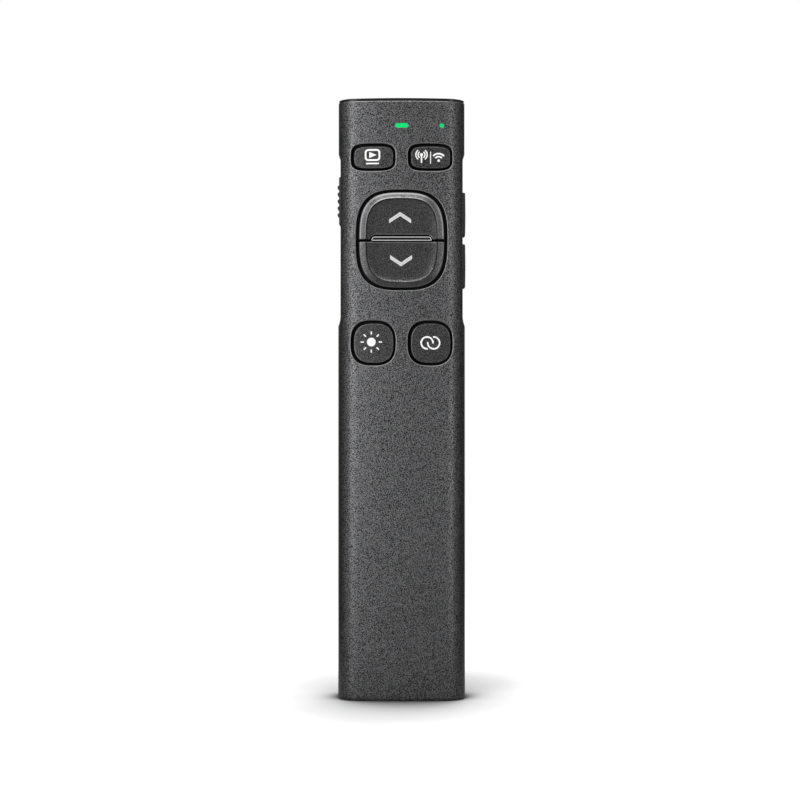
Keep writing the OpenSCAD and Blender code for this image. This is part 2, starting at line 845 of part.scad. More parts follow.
module key_switches() {
    color([0.75, 0.75, 0.72]) for (p = front_keys) difference() {
        box(p[0] - switch_w / 2, p[0] + switch_w / 2, switch_y, board_y,
            p[1] - switch_w / 2, p[1] + switch_w / 2);
        bar_y(p[0], p[1], stem_r + fit, switch_y - 1, stem_back + key_travel + fit);
    }
}

module side_switches() {
    color([0.75, 0.75, 0.72]) for (z = side_keys) difference() {
        box(side_switch_x - side_switch_l, side_switch_x, board_back,
            board_back + side_switch_t, z - switch_w / 2, z + switch_w / 2);
        along_x(side_switch_x - side_stem_in - key_travel - fit, far) translate([side_in_y, z])
            circle(side_stem_r + fit, $fn = 48);
    }
}

module front_stem(i) {
    color([0.12, 0.12, 0.12])
        bar_y(front_keys[i][0], front_keys[i][1], stem_r, stem_y, stem_back);
}

module side_stem(i) {
    color([0.12, 0.12, 0.12]) along_x(side_switch_x - side_stem_in, side_stem_x)
        translate([side_in_y, side_keys[i]]) circle(side_stem_r, $fn = 48);
}

module slide_switch() {
    color([0.75, 0.75, 0.72]) difference() {
        box(-side_switch_x, side_switch_l - side_switch_x, board_back,
            board_back + slide_switch_t, slide_mid - slide_travel / 2 - slide_switch_l / 2,
            slide_mid - slide_travel / 2 + slide_switch_l / 2);
        box(-far, lever_in + fit - side_switch_x, slide_y - lever_l / 2 - fit,
            slide_y + lever_l / 2 + fit, slide_mid - lever_w / 2 - slide_travel - fit,
            slide_mid + lever_w / 2 + fit);
    }
}

module slide_lever() {
    color([0.12, 0.12, 0.12]) box(-side_flange_x + fit, lever_in - side_switch_x,
        slide_y - lever_l / 2, slide_y + lever_l / 2,
        slide_mid - lever_w / 2, slide_mid + lever_w / 2);
}

module indicator_leds() {
    color([0.9, 0.9, 0.85]) for (x = [0, link_light_x])
        box(x - led_w / 2, x + led_w / 2, board_y - led_h, board_y,
            light_z - led_l / 2, light_z + led_l / 2);
}

module chip(w, y, z) {
    color([0.06, 0.06, 0.06]) box(-w / 2, w / 2, y, y + chip_t, z - w / 2, z + w / 2);
}

module emitter_barrel() {
    color([0.72, 0.55, 0.25]) translate([0, emitter_y, barrel_top - barrel_l]) difference() {
        cylinder(r = barrel_r, h = barrel_l, $fn = 96);
        translate([0, 0, barrel_l - lens_t]) cylinder(r = lens_r, h = lens_t + 1, $fn = 64);
        translate([0, 0, -1]) cylinder(r = diode_r, h = barrel_l, $fn = 64);
    }
}

module emitter_lens() {
    color([0.8, 0.9, 0.95]) translate([0, emitter_y, barrel_top - lens_t])
        cylinder(r = lens_r, h = lens_t, $fn = 64);
}

module emitter_diode() {
    color([0.6, 0.6, 0.6]) translate([0, emitter_y, barrel_top - barrel_l])
        cylinder(r = diode_r, h = diode_l, $fn = 64);
}

module battery_cell() {
    color([0.7, 0.7, 0.72]) box(-cell_w / 2, cell_w / 2, cell_y, cell_back, cell_z,
        cell_z + cell_l);
}

module cell_tape() {
    color([0.9, 0.9, 0.9]) box(tape_inset - cell_w / 2, cell_w / 2 - tape_inset, cell_back,
        tape_back, cell_z + tape_inset, cell_z + cell_l - tape_inset);
}

module battery_leads() {
    color([0.7, 0.1, 0.1]) for (s = [-1, 1]) translate([s * lead_x, lead_y, cell_z + cell_l])
        cylinder(r = lead_r, h = lead_l, $fn = 32);
}

module battery_plug() {
    color([0.9, 0.9, 0.85]) box(-battery_plug_w / 2, battery_plug_w / 2, board_back,
        board_back + battery_plug_t, battery_plug_z, battery_plug_z + battery_plug_l);
}

module charge_port_shell() {
    color([0.75, 0.76, 0.78]) along_z(port_z, port_z + port_l) translate([0, port_y])
        difference() {
            slot_outline(port_w, port_h);
            slot_outline(port_w - 2 * port_wall, port_h - 2 * port_wall);
        }
}

module charge_port_tongue() {
    color([0.05, 0.05, 0.05]) translate([0, port_y, 0]) {
        along_z(port_z + port_l - port_back_t, port_z + port_l)
            slot_outline(port_w - 2 * port_wall, port_h - 2 * port_wall);
        along_z(port_z + port_tongue_gap, port_z + port_l - port_back_t / 2)
            square([port_tongue_w, port_tongue_t], center = true);
    }
}

// --- Receiver and screws --------------------------------------------------------------

module receiver_cap() {
    color([0.10, 0.10, 0.11]) translate([0, plug_y, 0])
        along_z(cap_z, cap_z + cap_l) round_box(cap_w, cap_t, cap_corner_r);
}

module receiver_plug() {
    color([0.75, 0.76, 0.78]) translate([0, plug_y, 0])
        along_z(cap_z + cap_l, cap_z + receiver_l) difference() {
            square([plug_w, plug_t], center = true);
            square([plug_w - 2 * plug_wall, plug_t - 2 * plug_wall], center = true);
        }
}

module receiver_tongue() {
    color([0.06, 0.06, 0.06])
        box(plug_wall + fit - plug_w / 2, plug_w / 2 - plug_wall - fit, plug_y + fit,
            plug_y + plug_t / 2 - plug_wall, cap_z + cap_l, cap_z + receiver_l - tongue_gap);
}

module bay_magnet() {
    color([0.6, 0.6, 0.62]) box(-magnet_w / 2, magnet_w / 2, plug_y - magnet_d / 2,
        plug_y + magnet_d / 2, magnet_z, magnet_z + magnet_t);
}

module case_screws() {
    color([0.3, 0.3, 0.32]) for (p = screw_places) difference() {
        union() {
            bar_y(p[0], p[1], screw_r, seat_y - screw_l, seat_y + fuse);
            bar_y(p[0], p[1], head_r, seat_y, seat_y + head_h);
        }
        for (a = [0, 90]) translate([p[0], seat_y + head_h, p[1]]) rotate([0, a, 0])
            cube([recess_l, 2 * recess_d, recess_w], center = true);
    }
}

front_shell();
rear_shell();
end_window();
play_key();
mode_key();
page_back_key();
page_next_key();
divider_bar();
spotlight_key();
link_key();
side_key(0);  // volume_up_key
side_key(1);  // volume_down_key
power_slide();
status_light_pipe();
link_light_pipe();
circuit_board();
key_switches();
side_switches();
front_stem(0);  // play_stem
front_stem(1);  // mode_stem
front_stem(2);  // page_back_stem
front_stem(3);  // page_next_stem
front_stem(4);  // spotlight_stem
front_stem(5);  // link_stem
side_stem(0);  // volume_up_stem
side_stem(1);  // volume_down_stem
slide_switch();
slide_lever();
indicator_leds();
chip(controller_w, board_back, controller_z);  // controller_chip
chip(motion_w, board_back, motion_z);  // motion_chip
chip(charger_w, board_y - chip_t, charger_z);  // charger_chip
emitter_barrel();
emitter_lens();
emitter_diode();
battery_cell();
cell_tape();
battery_leads();
battery_plug();
charge_port_shell();
charge_port_tongue();
receiver_cap();
receiver_plug();
receiver_tongue();
bay_magnet();
case_screws();
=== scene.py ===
"""Finished meshes, materials, light and camera for a slim wireless presentation clicker.

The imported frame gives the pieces, where they lie and how they move. This script replaces
the pieces that show with finished meshes and gives every other piece its material. Sizes
are in millimetres, +Z is along the clicker and its front faces -Y.
"""
import logging
import math
from dataclasses import dataclass
from enum import Enum
from typing import Callable, Sequence

import bmesh
import bpy
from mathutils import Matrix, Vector
from mathutils.geometry import delaunay_2d_cdt


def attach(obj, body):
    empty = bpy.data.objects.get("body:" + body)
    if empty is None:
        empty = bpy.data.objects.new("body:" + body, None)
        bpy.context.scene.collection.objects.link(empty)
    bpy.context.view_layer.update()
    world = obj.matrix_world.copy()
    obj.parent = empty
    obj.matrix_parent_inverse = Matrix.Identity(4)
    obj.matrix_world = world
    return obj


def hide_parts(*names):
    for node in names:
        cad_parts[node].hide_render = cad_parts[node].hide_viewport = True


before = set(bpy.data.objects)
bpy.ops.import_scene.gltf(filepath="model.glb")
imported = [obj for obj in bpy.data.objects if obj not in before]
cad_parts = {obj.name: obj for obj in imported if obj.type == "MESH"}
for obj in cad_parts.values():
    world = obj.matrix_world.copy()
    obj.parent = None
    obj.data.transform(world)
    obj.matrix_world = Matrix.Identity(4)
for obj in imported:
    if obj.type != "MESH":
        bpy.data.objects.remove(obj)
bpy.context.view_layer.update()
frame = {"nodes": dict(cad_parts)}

LOG = logging.getLogger("clicker")
MM = 0.001
Pair = tuple[float, float]
Triple = tuple[float, float, float]
Lift = Callable[[float, float], Vector]
Place = Callable[[float, float, float], Vector]


# --- Drawing in a plane ---------------------------------------------------------------


def inside(point: Pair, ring: Sequence[Pair]) -> bool:
    """Says whether a point lies in a closed ring."""
    x, y = point
    found = False
    for (ax, ay), (bx, by) in zip(ring, [*ring[1:], ring[0]]):
        if (ay > y) != (by > y) and x < (bx - ax) * (y - ay) / (by - ay) + ax:
            found = not found
    return found


@dataclass
class Outline:
    """A closed outline, or an open run of one, that goes round anticlockwise."""

    points: list[Pair]
    closed: bool = True

    def grown(self, distance: float) -> list[Pair]:
        """Returns every corner moved outwards, or inwards by a negative distance."""
        count = len(self.points)
        moved: list[Pair] = []
        for i, (x, y) in enumerate(self.points):
            near = [self.points[i - 1], (x, y), self.points[(i + 1) % count]]
            if not self.closed:
                near = near[int(i == 0) : 3 - int(i == count - 1)]
            normals = [
                Vector((b[1] - a[1], a[0] - b[0])).normalized() for a, b in zip(near, near[1:])
            ]
            mean = sum(normals, Vector((0, 0))).normalized()
            reach = distance / max(0.5, mean.dot(normals[0]))
            moved.append((x + mean.x * reach, y + mean.y * reach))
        return moved

    def raised(self, place: Place, levels: Sequence[Pair]) -> list[list[Vector]]:
        """Puts the outline in space, once for each level.

        Args:
            place: gives the point for a corner and a level's second value.
            levels: how far the outline is grown, and the value that is handed to place.

        Returns:
            A ring of points for each level.
        """
        return [[place(u, v, at) for u, v in self.grown(grow)] for grow, at in levels]


def superellipse(x: float, y: float, w: float, h: float, n: float, count: int = 96) -> Outline:
    """Draws the outline of a key from its middle, width, height and squareness."""
    points: list[Pair] = []
    for i in range(count):
        turn = 2 * math.pi * (i + 0.5) / count
        u, v = (math.copysign(abs(t) ** (2 / n), t) for t in (math.cos(turn), math.sin(turn)))
        points.append((x + w / 2 * u, y + h / 2 * v))
    return Outline(points)


def rounded(corners: Sequence[Pair], *radii: float, steps: int = 6) -> Outline:
    """Draws a polygon with rounded corners.

    Args:
        corners: the sharp corners, anticlockwise.
        radii: of the corners' arcs, used in turn.
        steps: segments along each arc.

    Returns:
        The outline.
    """
    points: list[Pair] = []
    for i, corner in enumerate(corners):
        p = Vector(corner)
        a = (Vector(corners[i - 1]) - p).normalized()
        b = (Vector(corners[(i + 1) % len(corners)]) - p).normalized()
        half = math.acos(max(-1.0, min(1.0, a.dot(b)))) / 2
        radius = radii[i % len(radii)]
        centre = p + (a + b).normalized() * radius / math.sin(half)
        start = p + a * radius / math.tan(half) - centre
        turn = math.copysign(math.pi - 2 * half, a.y * b.x - a.x * b.y)
        for k in range(steps + 1):
            c, s = math.cos(turn * k / steps), math.sin(turn * k / steps)
            points.append(
                (centre.x + start.x * c - start.y * s, centre.y + start.x * s + start.y * c)
            )
    return Outline(points)


def round_box(x: float, y: float, w: float, h: float, r: float, steps: int = 6) -> Outline:
    """Draws a rectangle with round corners about its middle."""
    corners = [(x + s * w / 2, y + t * h / 2) for s, t in ((-1, -1), (1, -1), (1, 1), (-1, 1))]
    return rounded(corners, r, steps=steps)


def disc(x: float, y: float, r: float, count: int = 32) -> Outline:
    """Draws a circle."""
    return superellipse(x, y, 2 * r, 2 * r, 2, count)


def bar_slot(w: float, h: float, x: float = 0.0, y: float = 0.0) -> Outline:
    """Draws a bar with round ends."""
    return round_box(x, y, w, h, h / 2 - 0.001, 10)


def band(x: float, y: float, r: float, stroke: float, start: float, end: float) -> Outline:
    """Draws a stroke along an arc, with round ends.

    Args:
        x: middle of the arc.
        y: middle of the arc.
        r: radius of the stroke's own middle line.
        stroke: its width.
        start: first angle in degrees.
        end: last angle in degrees, beyond the first.

    Returns:
        The outline.
    """
    steps = max(6, int((end - start) / 8))
    angles = [math.radians(start + (end - start) * k / steps) for k in range(steps + 1)]
    points: list[Pair] = []
    for run, half in ((angles, stroke / 2), (angles[::-1], -stroke / 2)):
        points += [(x + (r + half) * math.cos(a), y + (r + half) * math.sin(a)) for a in run]
        cx, cy = x + r * math.cos(run[-1]), y + r * math.sin(run[-1])
        caps = [run[-1] + math.pi * k / 6 for k in range(1, 6)]
        points += [(cx + half * math.cos(a), cy + half * math.sin(a)) for a in caps]
    return Outline(points)


def arc(x: float, y: float, r: float, first: float, last: float, count: int) -> list[Pair]:
    """Gives an arc's points after its first, at angles from the y axis."""
    turns = [first + (last - first) * k / count for k in range(1, count + 1)]
    return [(x + r * math.sin(a), y + r * math.cos(a)) for a in turns]


def eased(radius: float, steps: int = 4, way: int = -1) -> list[Pair]:
    """Gives the growth and the depth of the levels that round an edge off.

    Args:
        radius: of the edge.
        steps: segments along it.
        way: -1 for a piece's own edge and 1 for the edge of an opening.

    Returns:
        The levels, from the outermost.
    """
    turns = [math.pi / 2 * k / steps for k in range(steps + 1)]
    return [(way * radius * (1 - math.sin(t)), radius * (1 - math.cos(t))) for t in turns]


def spaced(start: float, end: float, step: float) -> list[float]:
    """Gives even values from start to end, both included, about a step apart."""
    count = max(1, round((end - start) / step))
    return [start + (end - start) * k / count for k in range(count + 1)]


# --- Meshes ---------------------------------------------------------------------------


class Shape:
    """Corners and faces of one closed piece, in millimetres, before it becomes a mesh."""

    SHARP = math.radians(33)

    def __init__(self) -> None:
        """Starts with no corners and the first of the piece's materials."""
        self.points: list[Vector] = []
        self.faces: list[tuple[int, ...]] = []
        self.marks: list[int] = []
        self.mark = 0

    def add(self, points: Sequence[Vector]) -> list[int]:
        """Adds corners and returns their numbers."""
        first = len(self.points)
        self.points += [Vector(p) for p in points]
        return list(range(first, len(self.points)))

    def face(self, ids: Sequence[int]) -> None:
        """Adds one face in the material that is set."""
        self.faces.append(tuple(ids))
        self.marks.append(self.mark)

    def bridge(self, a: Sequence[int], b: Sequence[int], closed: bool = True) -> None:
        """Joins two runs of as many corners with a strip of faces."""
        for i in range(len(a) if closed else len(a) - 1):
            j = (i + 1) % len(a)
            self.face((a[i], a[j], b[j], b[i]))

    def sweep(
        self,
        rings: Sequence[Sequence[Vector]],
        start: Sequence[int] = (),
        foot: bool = False,
        head: bool = False,
    ) -> list[int]:
        """Adds rings of corners and joins each with the one before it.

        Args:
            rings: the corners, ring by ring.
            start: corner numbers of the ring that they go on from, if there is one.
            foot: whether a face closes the first ring.
            head: whether a face closes the last ring.

        Returns:
            The last ring's corner numbers.
        """
        ring = list(start)
        for points in rings:
            added = self.add(points)
            if ring:
                self.bridge(ring, added)
            elif foot:
                self.face(added)
            ring = added
        if head:
            self.face(ring)
        return ring

    def fill(
        self,
        loops: Sequence[Sequence[int]],
        inner: Sequence[Pair],
        flat: Callable[[Vector], Pair],
        lift: Lift,
    ) -> None:
        """Fills a surface with triangles.

        Args:
            loops: corner numbers of its edge, and then of each hole in it.
            inner: places of further corners, in the plane that it is drawn in.
            flat: gives a corner's place in that plane.
            lift: gives the corner over a place in that plane.
        """
        ids = [i for loop in loops for i in loop]
        places = [Vector(flat(self.points[i])) for i in ids]
        edges: list[tuple[int, int]] = []
        rings: list[list[Pair]] = []
        for loop in loops:
            first, count = len(edges), len(loop)
            edges += [(first + k, first + (k + 1) % count) for k in range(count)]
            rings.append([tuple(p) for p in places[first : first + count]])
        ids += self.add([lift(u, v) for u, v in inner])
        made = delaunay_2d_cdt([*places, *map(Vector, inner)], edges, [], 0, 1e-6)
        spans = [[(min(values), max(values)) for values in zip(*ring)] for ring in rings]
        known = [ids[found[0]] if found else -1 for found in made[3]]
        for k, number in enumerate(known):
            if number < 0:
                LOG.warning("outlines cross at %.2f, %.2f", *made[0][k])
                known[k] = self.add([lift(*made[0][k])])[0]
        for corners in made[2]:
            middle = tuple(sum(made[0][k][axis] for k in corners) / 3 for axis in (0, 1))
            hit = [
                all(low <= at <= high for (low, high), at in zip(span, middle))
                and inside(middle, ring)
                for span, ring in zip(spans, rings)
            ]
            if hit[0] and not any(hit[1:]):
                self.face([known[k] for k in corners])

    def tube(self, a: Vector, b: Vector, radius: float, ease: float, count: int = 32) -> None:
        """Adds a closed round bar with eased ends."""
        along = (b - a).normalized() * ease
        side = along.orthogonal().normalized()
        other = along.normalized().cross(side)
        turns = [2 * math.pi * k / count for k in range(count)]
        ways = [side * math.cos(t) + other * math.sin(t) for t in turns]
        slim = radius - ease
        ends = ((a, slim), (a + along, radius), (b - along, radius), (b, slim))
        self.sweep([[end + way * r for way in ways] for end, r in ends], foot=True, head=True)

    def build(self, name: str, *materials: bpy.types.Material) -> bpy.types.Object:
        """Makes the mesh and its object.

        Args:
            name: of the piece.
            materials: the finishes that the faces' marks number.

        Returns:
            The object, at the origin and in metres.
        """
        mesh = bpy.data.meshes.new(name)
        mesh.from_pydata([p * MM for p in self.points], [], self.faces)
        for material in materials:
            mesh.materials.append(material)
        mesh.polygons.foreach_set("material_index", self.marks)
        work = bmesh.new()
        work.from_mesh(mesh)
        loose = [v for v in work.verts if not v.link_faces]
        bmesh.ops.delete(work, geom=loose, context="VERTS")
        edges = [e for e in work.edges if e.is_boundary]
        if edges:
            bmesh.ops.holes_fill(work, edges=edges, sides=0)
        bmesh.ops.recalc_face_normals(work, faces=work.faces)
        for f in work.faces:
            f.smooth = True
        for e in work.edges:
            e.smooth = e.is_manifold and e.calc_face_angle(0) < self.SHARP
        open_edges = sum(not e.is_manifold for e in work.edges)
        if open_edges:
            LOG.warning("%s has %d open edges", name, open_edges)
        work.to_mesh(mesh)
        work.free()
        piece = bpy.data.objects.new(name, mesh)
        bpy.context.scene.collection.objects.link(piece)
        return piece


def dress(piece: bpy.types.Object, body: str, slot: str, *nodes: str) -> bpy.types.Object:
    """Hands a finished piece to the frame.

    Args:
        piece: the object.
        body: the body that it rides on.
        slot: the record's material slot, which is not used.
        nodes: the nodes that it stands for.

    Returns:
        The same object.
    """
    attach(piece, body)
    if nodes:
        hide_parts(*nodes)
    LOG.info("%s rides on %s and has %d faces", piece.name, body, len(piece.data.polygons))
    return piece


# --- Finishes -------------------------------------------------------------------------


class Wiring:
    """Adds nodes to a tree, together with what feeds them."""

    def __init__(self, tree: bpy.types.NodeTree) -> None:
        """Takes the tree."""
        self.tree = tree

    def add(
        self, kind: str, feeds: dict | None = None, out: int | str = 0, **settings: object
    ) -> bpy.types.NodeSocket:
        """Adds a node.

        Args:
            kind: its type.
            feeds: by an input's name or number, a plain value or another node's output.
            out: name or number of the output that is wanted.
            settings: its own properties.

        Returns:
            That output.
        """
        node = self.tree.nodes.new(kind)
        for name, value in settings.items():
            setattr(node, name, value)
        self.feed(node, feeds or {})
        return node.outputs[out]

    def feed(self, node: bpy.types.Node, feeds: dict) -> None:
        """Sets a node's inputs to plain values, or links them to other nodes' outputs."""
        for key, value in feeds.items():
            if isinstance(value, bpy.types.NodeSocket):
                self.tree.links.new(value, node.inputs[key])
            else:
                node.inputs[key].default_value = value

    def ramp(self, feed: bpy.types.NodeSocket, *stops: tuple) -> bpy.types.NodeSocket:
        """Adds a colour ramp, each of whose stops is a place and a colour or a grey."""
        out = self.add("ShaderNodeValToRGB", {"Fac": feed}, "Color")
        elements = out.node.color_ramp.elements
        while len(elements) < len(stops):
            elements.new(0.5)
        for element, (at, shade) in zip(elements, stops):
            element.position = at
            element.color = (*(shade if isinstance(shade, tuple) else (shade,) * 3), 1)
        return out

    def mix(self, factor: bpy.types.NodeSocket, *ends: object) -> bpy.types.NodeSocket:
        """Adds a mix of two colours, each a plain one or an output."""
        feeds = dict(zip(("Factor", "A", "B"), (factor, *ends)))
        return self.add("ShaderNodeMix", feeds, "Result", data_type="RGBA")


@dataclass(frozen=True)
class Finish:
    """One surface finish, with a grain in its colour and its relief.

    Attributes:
        name: of the material.
        colour: linear base colour.
        roughness: middle roughness.
        metallic: share of metal.
        grain: size of the grain in millimetres.
        contrast: how much lighter and darker the grain goes, as a share.
        relief: height of the grain's bumps in millimetres.
        patch: size of the slow variation in millimetres.
        coat: weight of a clear coat.
        specular: level of the plain reflection.
        glow: strength of its own light.
        clear: share of light that passes.
        spread: share of the noise's range over which the grain turns light, so less is crisper.
    """

    name: str
    colour: Triple
    roughness: float = 0.5
    metallic: float = 0.0
    grain: float = 0.3
    contrast: float = 0.12
    relief: float = 0.0
    patch: float = 9.0
    coat: float = 0.0
    specular: float = 0.5
    glow: float = 0.0
    clear: float = 0.0
    spread: float = 0.2

    def material(self) -> bpy.types.Material:
        """Returns the material, made once for the whole scene."""
        found = bpy.data.materials.get(self.name)
        if found:
            return found
        made = bpy.data.materials.new(self.name)
        made.use_nodes = True
        wiring = Wiring(made.node_tree)
        place = wiring.add("ShaderNodeTexCoord", out="Object")
        turned = wiring.add("ShaderNodeMapping", {"Vector": place, "Rotation": (0.6, 0.5, 0.4)})
        fine, slow = (
            wiring.add(
                "ShaderNodeTexNoise",
                {"Vector": turned, "Scale": 1 / (size * MM), "Detail": detail},
                "Fac",
            )
            for size, detail in ((self.grain, 2.0), (self.patch, 1.0))
        )
        both = {0: slow, 1: 0.3 * self.spread, 2: fine}
        level = wiring.add("ShaderNodeMath", both, operation="MULTIPLY_ADD")
        middle = 0.5 + 0.15 * self.spread
        stops = [
            (middle + way * self.spread, tuple(c * (1 + way * self.contrast) for c in self.colour))
            for way in (-1, 1)
        ]
        shade = wiring.ramp(level, *stops)
        span = {"Value": slow, "To Min": self.roughness * 0.88, "To Max": self.roughness * 1.12}
        feeds = {
            "Metallic": self.metallic,
            "Coat Weight": self.coat,
            "Coat Roughness": 0.06,
            "Specular IOR Level": self.specular,
            "Transmission Weight": self.clear,
            "Emission Strength": self.glow,
            "Base Color": shade,
            "Roughness": wiring.add("ShaderNodeMapRange", span),
        }
        if self.relief:
            bumps = {"Strength": 1.0, "Distance": self.relief * MM, "Height": fine}
            feeds["Normal"] = wiring.add("ShaderNodeBump", bumps)
        if self.glow:
            feeds["Emission Color"] = shade
        wiring.feed(made.node_tree.nodes["Principled BSDF"], feeds)
        return made


PAINT = Finish("metallic_paint", (0.068, 0.068, 0.07), 0.38, 0.85, 0.19, 0.98, 0.012, spread=0.05)
# Lighter grey on the lips of the shells' openings and on the lower part of the top edge's rounding:
# a painted highlight line.
LIP_HIGHLIGHT = Finish("painted_lip_highlight", (0.17, 0.17, 0.172), 0.32, 0.8, 0.3, 0.3)
# Black moulding: the unpainted plastic inside the shells, also used as painted shade on key bevels,
# in the gaps round the keys and in the groove round the page keys' faces.
MOULDING_AND_SHADE = Finish("black_moulding_and_painted_shade", (0.006, 0.006, 0.006), 0.6, 0.0, 0.3, 0.15, specular=0.15)
KEY_SKIN = Finish("key_skin", (0.036, 0.036, 0.037), 0.4, 0.85, 0.19, 0.85, 0.012, spread=0.06)
# A painted highlight: bright lines along the page keys' edges and along the upper page key's rim.
PAGE_EDGE_HIGHLIGHT = Finish("painted_edge_highlight", (0.155, 0.155, 0.157), 0.3, 0.8, 0.3, 0.2)
PAD_SKIN = Finish("pad_skin", (0.034, 0.034, 0.035), 0.38, 0.85, 0.22, 0.6, 0.009, spread=0.06)
# The page keys' rim grey, also used as a painted highlight line on the small keys' edges and as a
# painted highlight crescent low in the lower page key's dish.
RIM_AND_HIGHLIGHT = Finish("pad_rim_and_painted_highlight", (0.077, 0.077, 0.079), 0.32, 0.8, 0.22, 0.5, 0.01, spread=0.06)
PRINT = Finish("pale_print", (0.7, 0.7, 0.69), 0.55, 0.0, 0.3, 0.03)
SOFT_PRINT = Finish("grey_print", (0.5, 0.5, 0.49), 0.55, 0.0, 0.3, 0.03)
DIM_PRINT = Finish("dim_print", (0.36, 0.36, 0.35), 0.55, 0.0, 0.3, 0.03)
GLOSS = Finish("gloss_black", (0.005, 0.005, 0.005), 0.16, 0.0, 2.0, 0.1, specular=0.25)
# Bright metal on the divider bar's frame, lighter than the bar so that it also stands in for the
# highlights on its bevels: a painted highlight.
FRAME_HIGHLIGHT = Finish("bar_frame_painted_highlight", (0.6, 0.6, 0.6), 0.22, 0.8, 0.8, 0.06)
SIDE_SKIN = Finish("side_black", (0.013, 0.013, 0.013), 0.28, 0.0, 0.25, 0.15, 0.003)
LIGHT_BAR = Finish("green_bar", (0.0, 0.25, 0.062), 0.4, 0.0, 0.9, 0.12, specular=0.1, glow=1.6)
LIGHT_DOT = Finish("green_dot", (0.0, 0.25, 0.065), 0.4, 0.0, 0.9, 0.1, specular=0.1, glow=1.4)
STEEL = Finish("port_steel", (0.55, 0.56, 0.57), 0.28, 1.0, 0.5, 0.06, 0.002)
PORT_BLACK = Finish("port_black", (0.012, 0.012, 0.012), 0.45, 0.0, 0.3, 0.15, 0.003)
GOLD = Finish("contact_gold", (0.75, 0.52, 0.2), 0.3, 1.0, 0.4, 0.06)
CAP_SKIN = Finish("receiver_cap_skin", (0.014, 0.014, 0.015), 0.42, 0.0, 0.25, 0.15, 0.004)
SCREW_BLACK = Finish("screw_black", (0.03, 0.03, 0.032), 0.36, 0.9, 0.4, 0.15, 0.002)
GLASS = Finish("lens_glass", (0.85, 0.92, 0.95), 0.04, 0.0, 3.0, 0.02, clear=0.9)
FLAG_BLACK = Finish("flag_black", (0.1, 0.1, 0.1), 0.9)


# --- The housing's form ---------------------------------------------------------------


@dataclass(frozen=True)
class Section:
    """Outline across the housing: flat-crowned faces blended into round edges."""

    half_w: float
    half_d: float
    edge_r: float
    crown_r: float

    def taken_in(self, inset: float) -> "Section":
        """Returns the same outline, taken in all round."""
        sizes = (self.half_w, self.half_d, self.edge_r, self.crown_r)
        return Section(*(size - inset for size in sizes))

    @property
    def edge_x(self) -> float:
        """Distance of the round edge's middle from the middle of the housing."""
        return self.half_w - self.edge_r

    @property
    def edge_y(self) -> float:
        """Distance of the round edge's middle from the parting plane."""
        reach = self.crown_r - self.edge_r
        return math.sqrt(reach**2 - self.edge_x**2) - (self.crown_r - self.half_d)

    def depth(self, x: float) -> float:
        """Returns how far the surface is from the parting plane, at a distance across."""
        across = abs(x)
        if across <= self.edge_x * self.crown_r / (self.crown_r - self.edge_r):
            return math.sqrt(self.crown_r**2 - across**2) - (self.crown_r - self.half_d)
        rest = self.edge_r**2 - (across - self.edge_x) ** 2
        return self.edge_y + math.sqrt(max(0.0, rest))


@dataclass(frozen=True)
class Form:
    """Driving sizes of the housing, front to back symmetrical."""

    length: float = 150.0
    foot_w: float = 31.9
    grip_w: float = 31.8
    waist_w: float = 30.6
    top_w: float = 31.55
    depth: float = 15.0
    edge_r: float = 5.0
    crown_r: float = 100.0
    foot_r: float = 0.8
    top_r: float = 0.28
    crease_r: float = 0.7
    wall: float = 1.4
    side_wall: float = 1.3
    inner_r: float = 2.6
    tail_wall: float = 1.6
    window_t: float = 0.6
    low_step: Pair = (93.4, 96.0)
    high_step: Pair = (136.5, 134.7)
    step_power: float = 2.2

    @property
    def shell_l(self) -> float:
        """Height of the shells' upper end."""
        return self.length - self.window_t

    @property
    def painted_highlight_z(self) -> float:
        """Height up to which the upper edge's rounding carries a painted highlight; above it the
        rounding is black.
        """
        return self.shell_l - 0.45 * self.top_r

    @property
    def outer(self) -> Section:
        """The outer section, away from the ends."""
        return Section(self.foot_w / 2, self.depth / 2, self.edge_r, self.crown_r)

    @property
    def inner(self) -> Section:
        """The section of the cavity."""
        half_w = self.waist_w / 2 - self.side_wall
        half_d = self.depth / 2 - self.wall
        return Section(half_w, half_d, self.inner_r, self.crown_r - self.wall)

    def inset(self, z: float) -> float:
        """Returns how far the ends' rounding takes the surface in at a height."""
        ends = ((self.foot_r, self.foot_r - z), (self.top_r, self.top_r - self.shell_l + z))
        for r, rest in ends:
            if rest > 0:
                return r - math.sqrt(max(0.0, r**2 - rest**2))
        return 0.0

    def half_width(self, z: float) -> float:
        """Returns half the width between the side faces at a height."""
        foot = self.foot_w / 2 - 0.02
        grip, waist, top = self.grip_w / 2, self.waist_w / 2, self.top_w / 2
        if z < self.low_step[0]:
            return foot + (grip - foot) * z / self.low_step[0]
        for (wide_z, slim_z), wide in ((self.low_step, grip), (self.high_step, top)):
            share = (z - wide_z) / (slim_z - wide_z)
            if 0 <= share <= 1:
                return waist + (wide - waist) * (1 - share) ** self.step_power
        return waist if z < self.high_step[1] else top

    def rows(self) -> list[float]:
        """Returns the heights of the rows of corners along the outer skin."""
        rows = [self.foot_r * (1 - math.cos(math.pi / 2 * k / 6)) for k in range(6)]
        rows += spaced(self.foot_r, self.low_step[0], 1.6)
        rows += spaced(*self.low_step, 0.3)[1:]
        rows += spaced(self.low_step[1], self.high_step[1], 1.2)[1:]
        rows += spaced(self.high_step[1], self.high_step[0], 0.25)[1:]
        rows += spaced(self.high_step[0], self.shell_l - self.top_r, 1.2)[1:-1]
        top = self.shell_l - self.top_r
        return rows + [top + self.top_r * math.sin(math.pi / 2 * k / 3) for k in range(4)]


FORM = Form()


# --- Places shared by the housing and what sits in it ---------------------------------


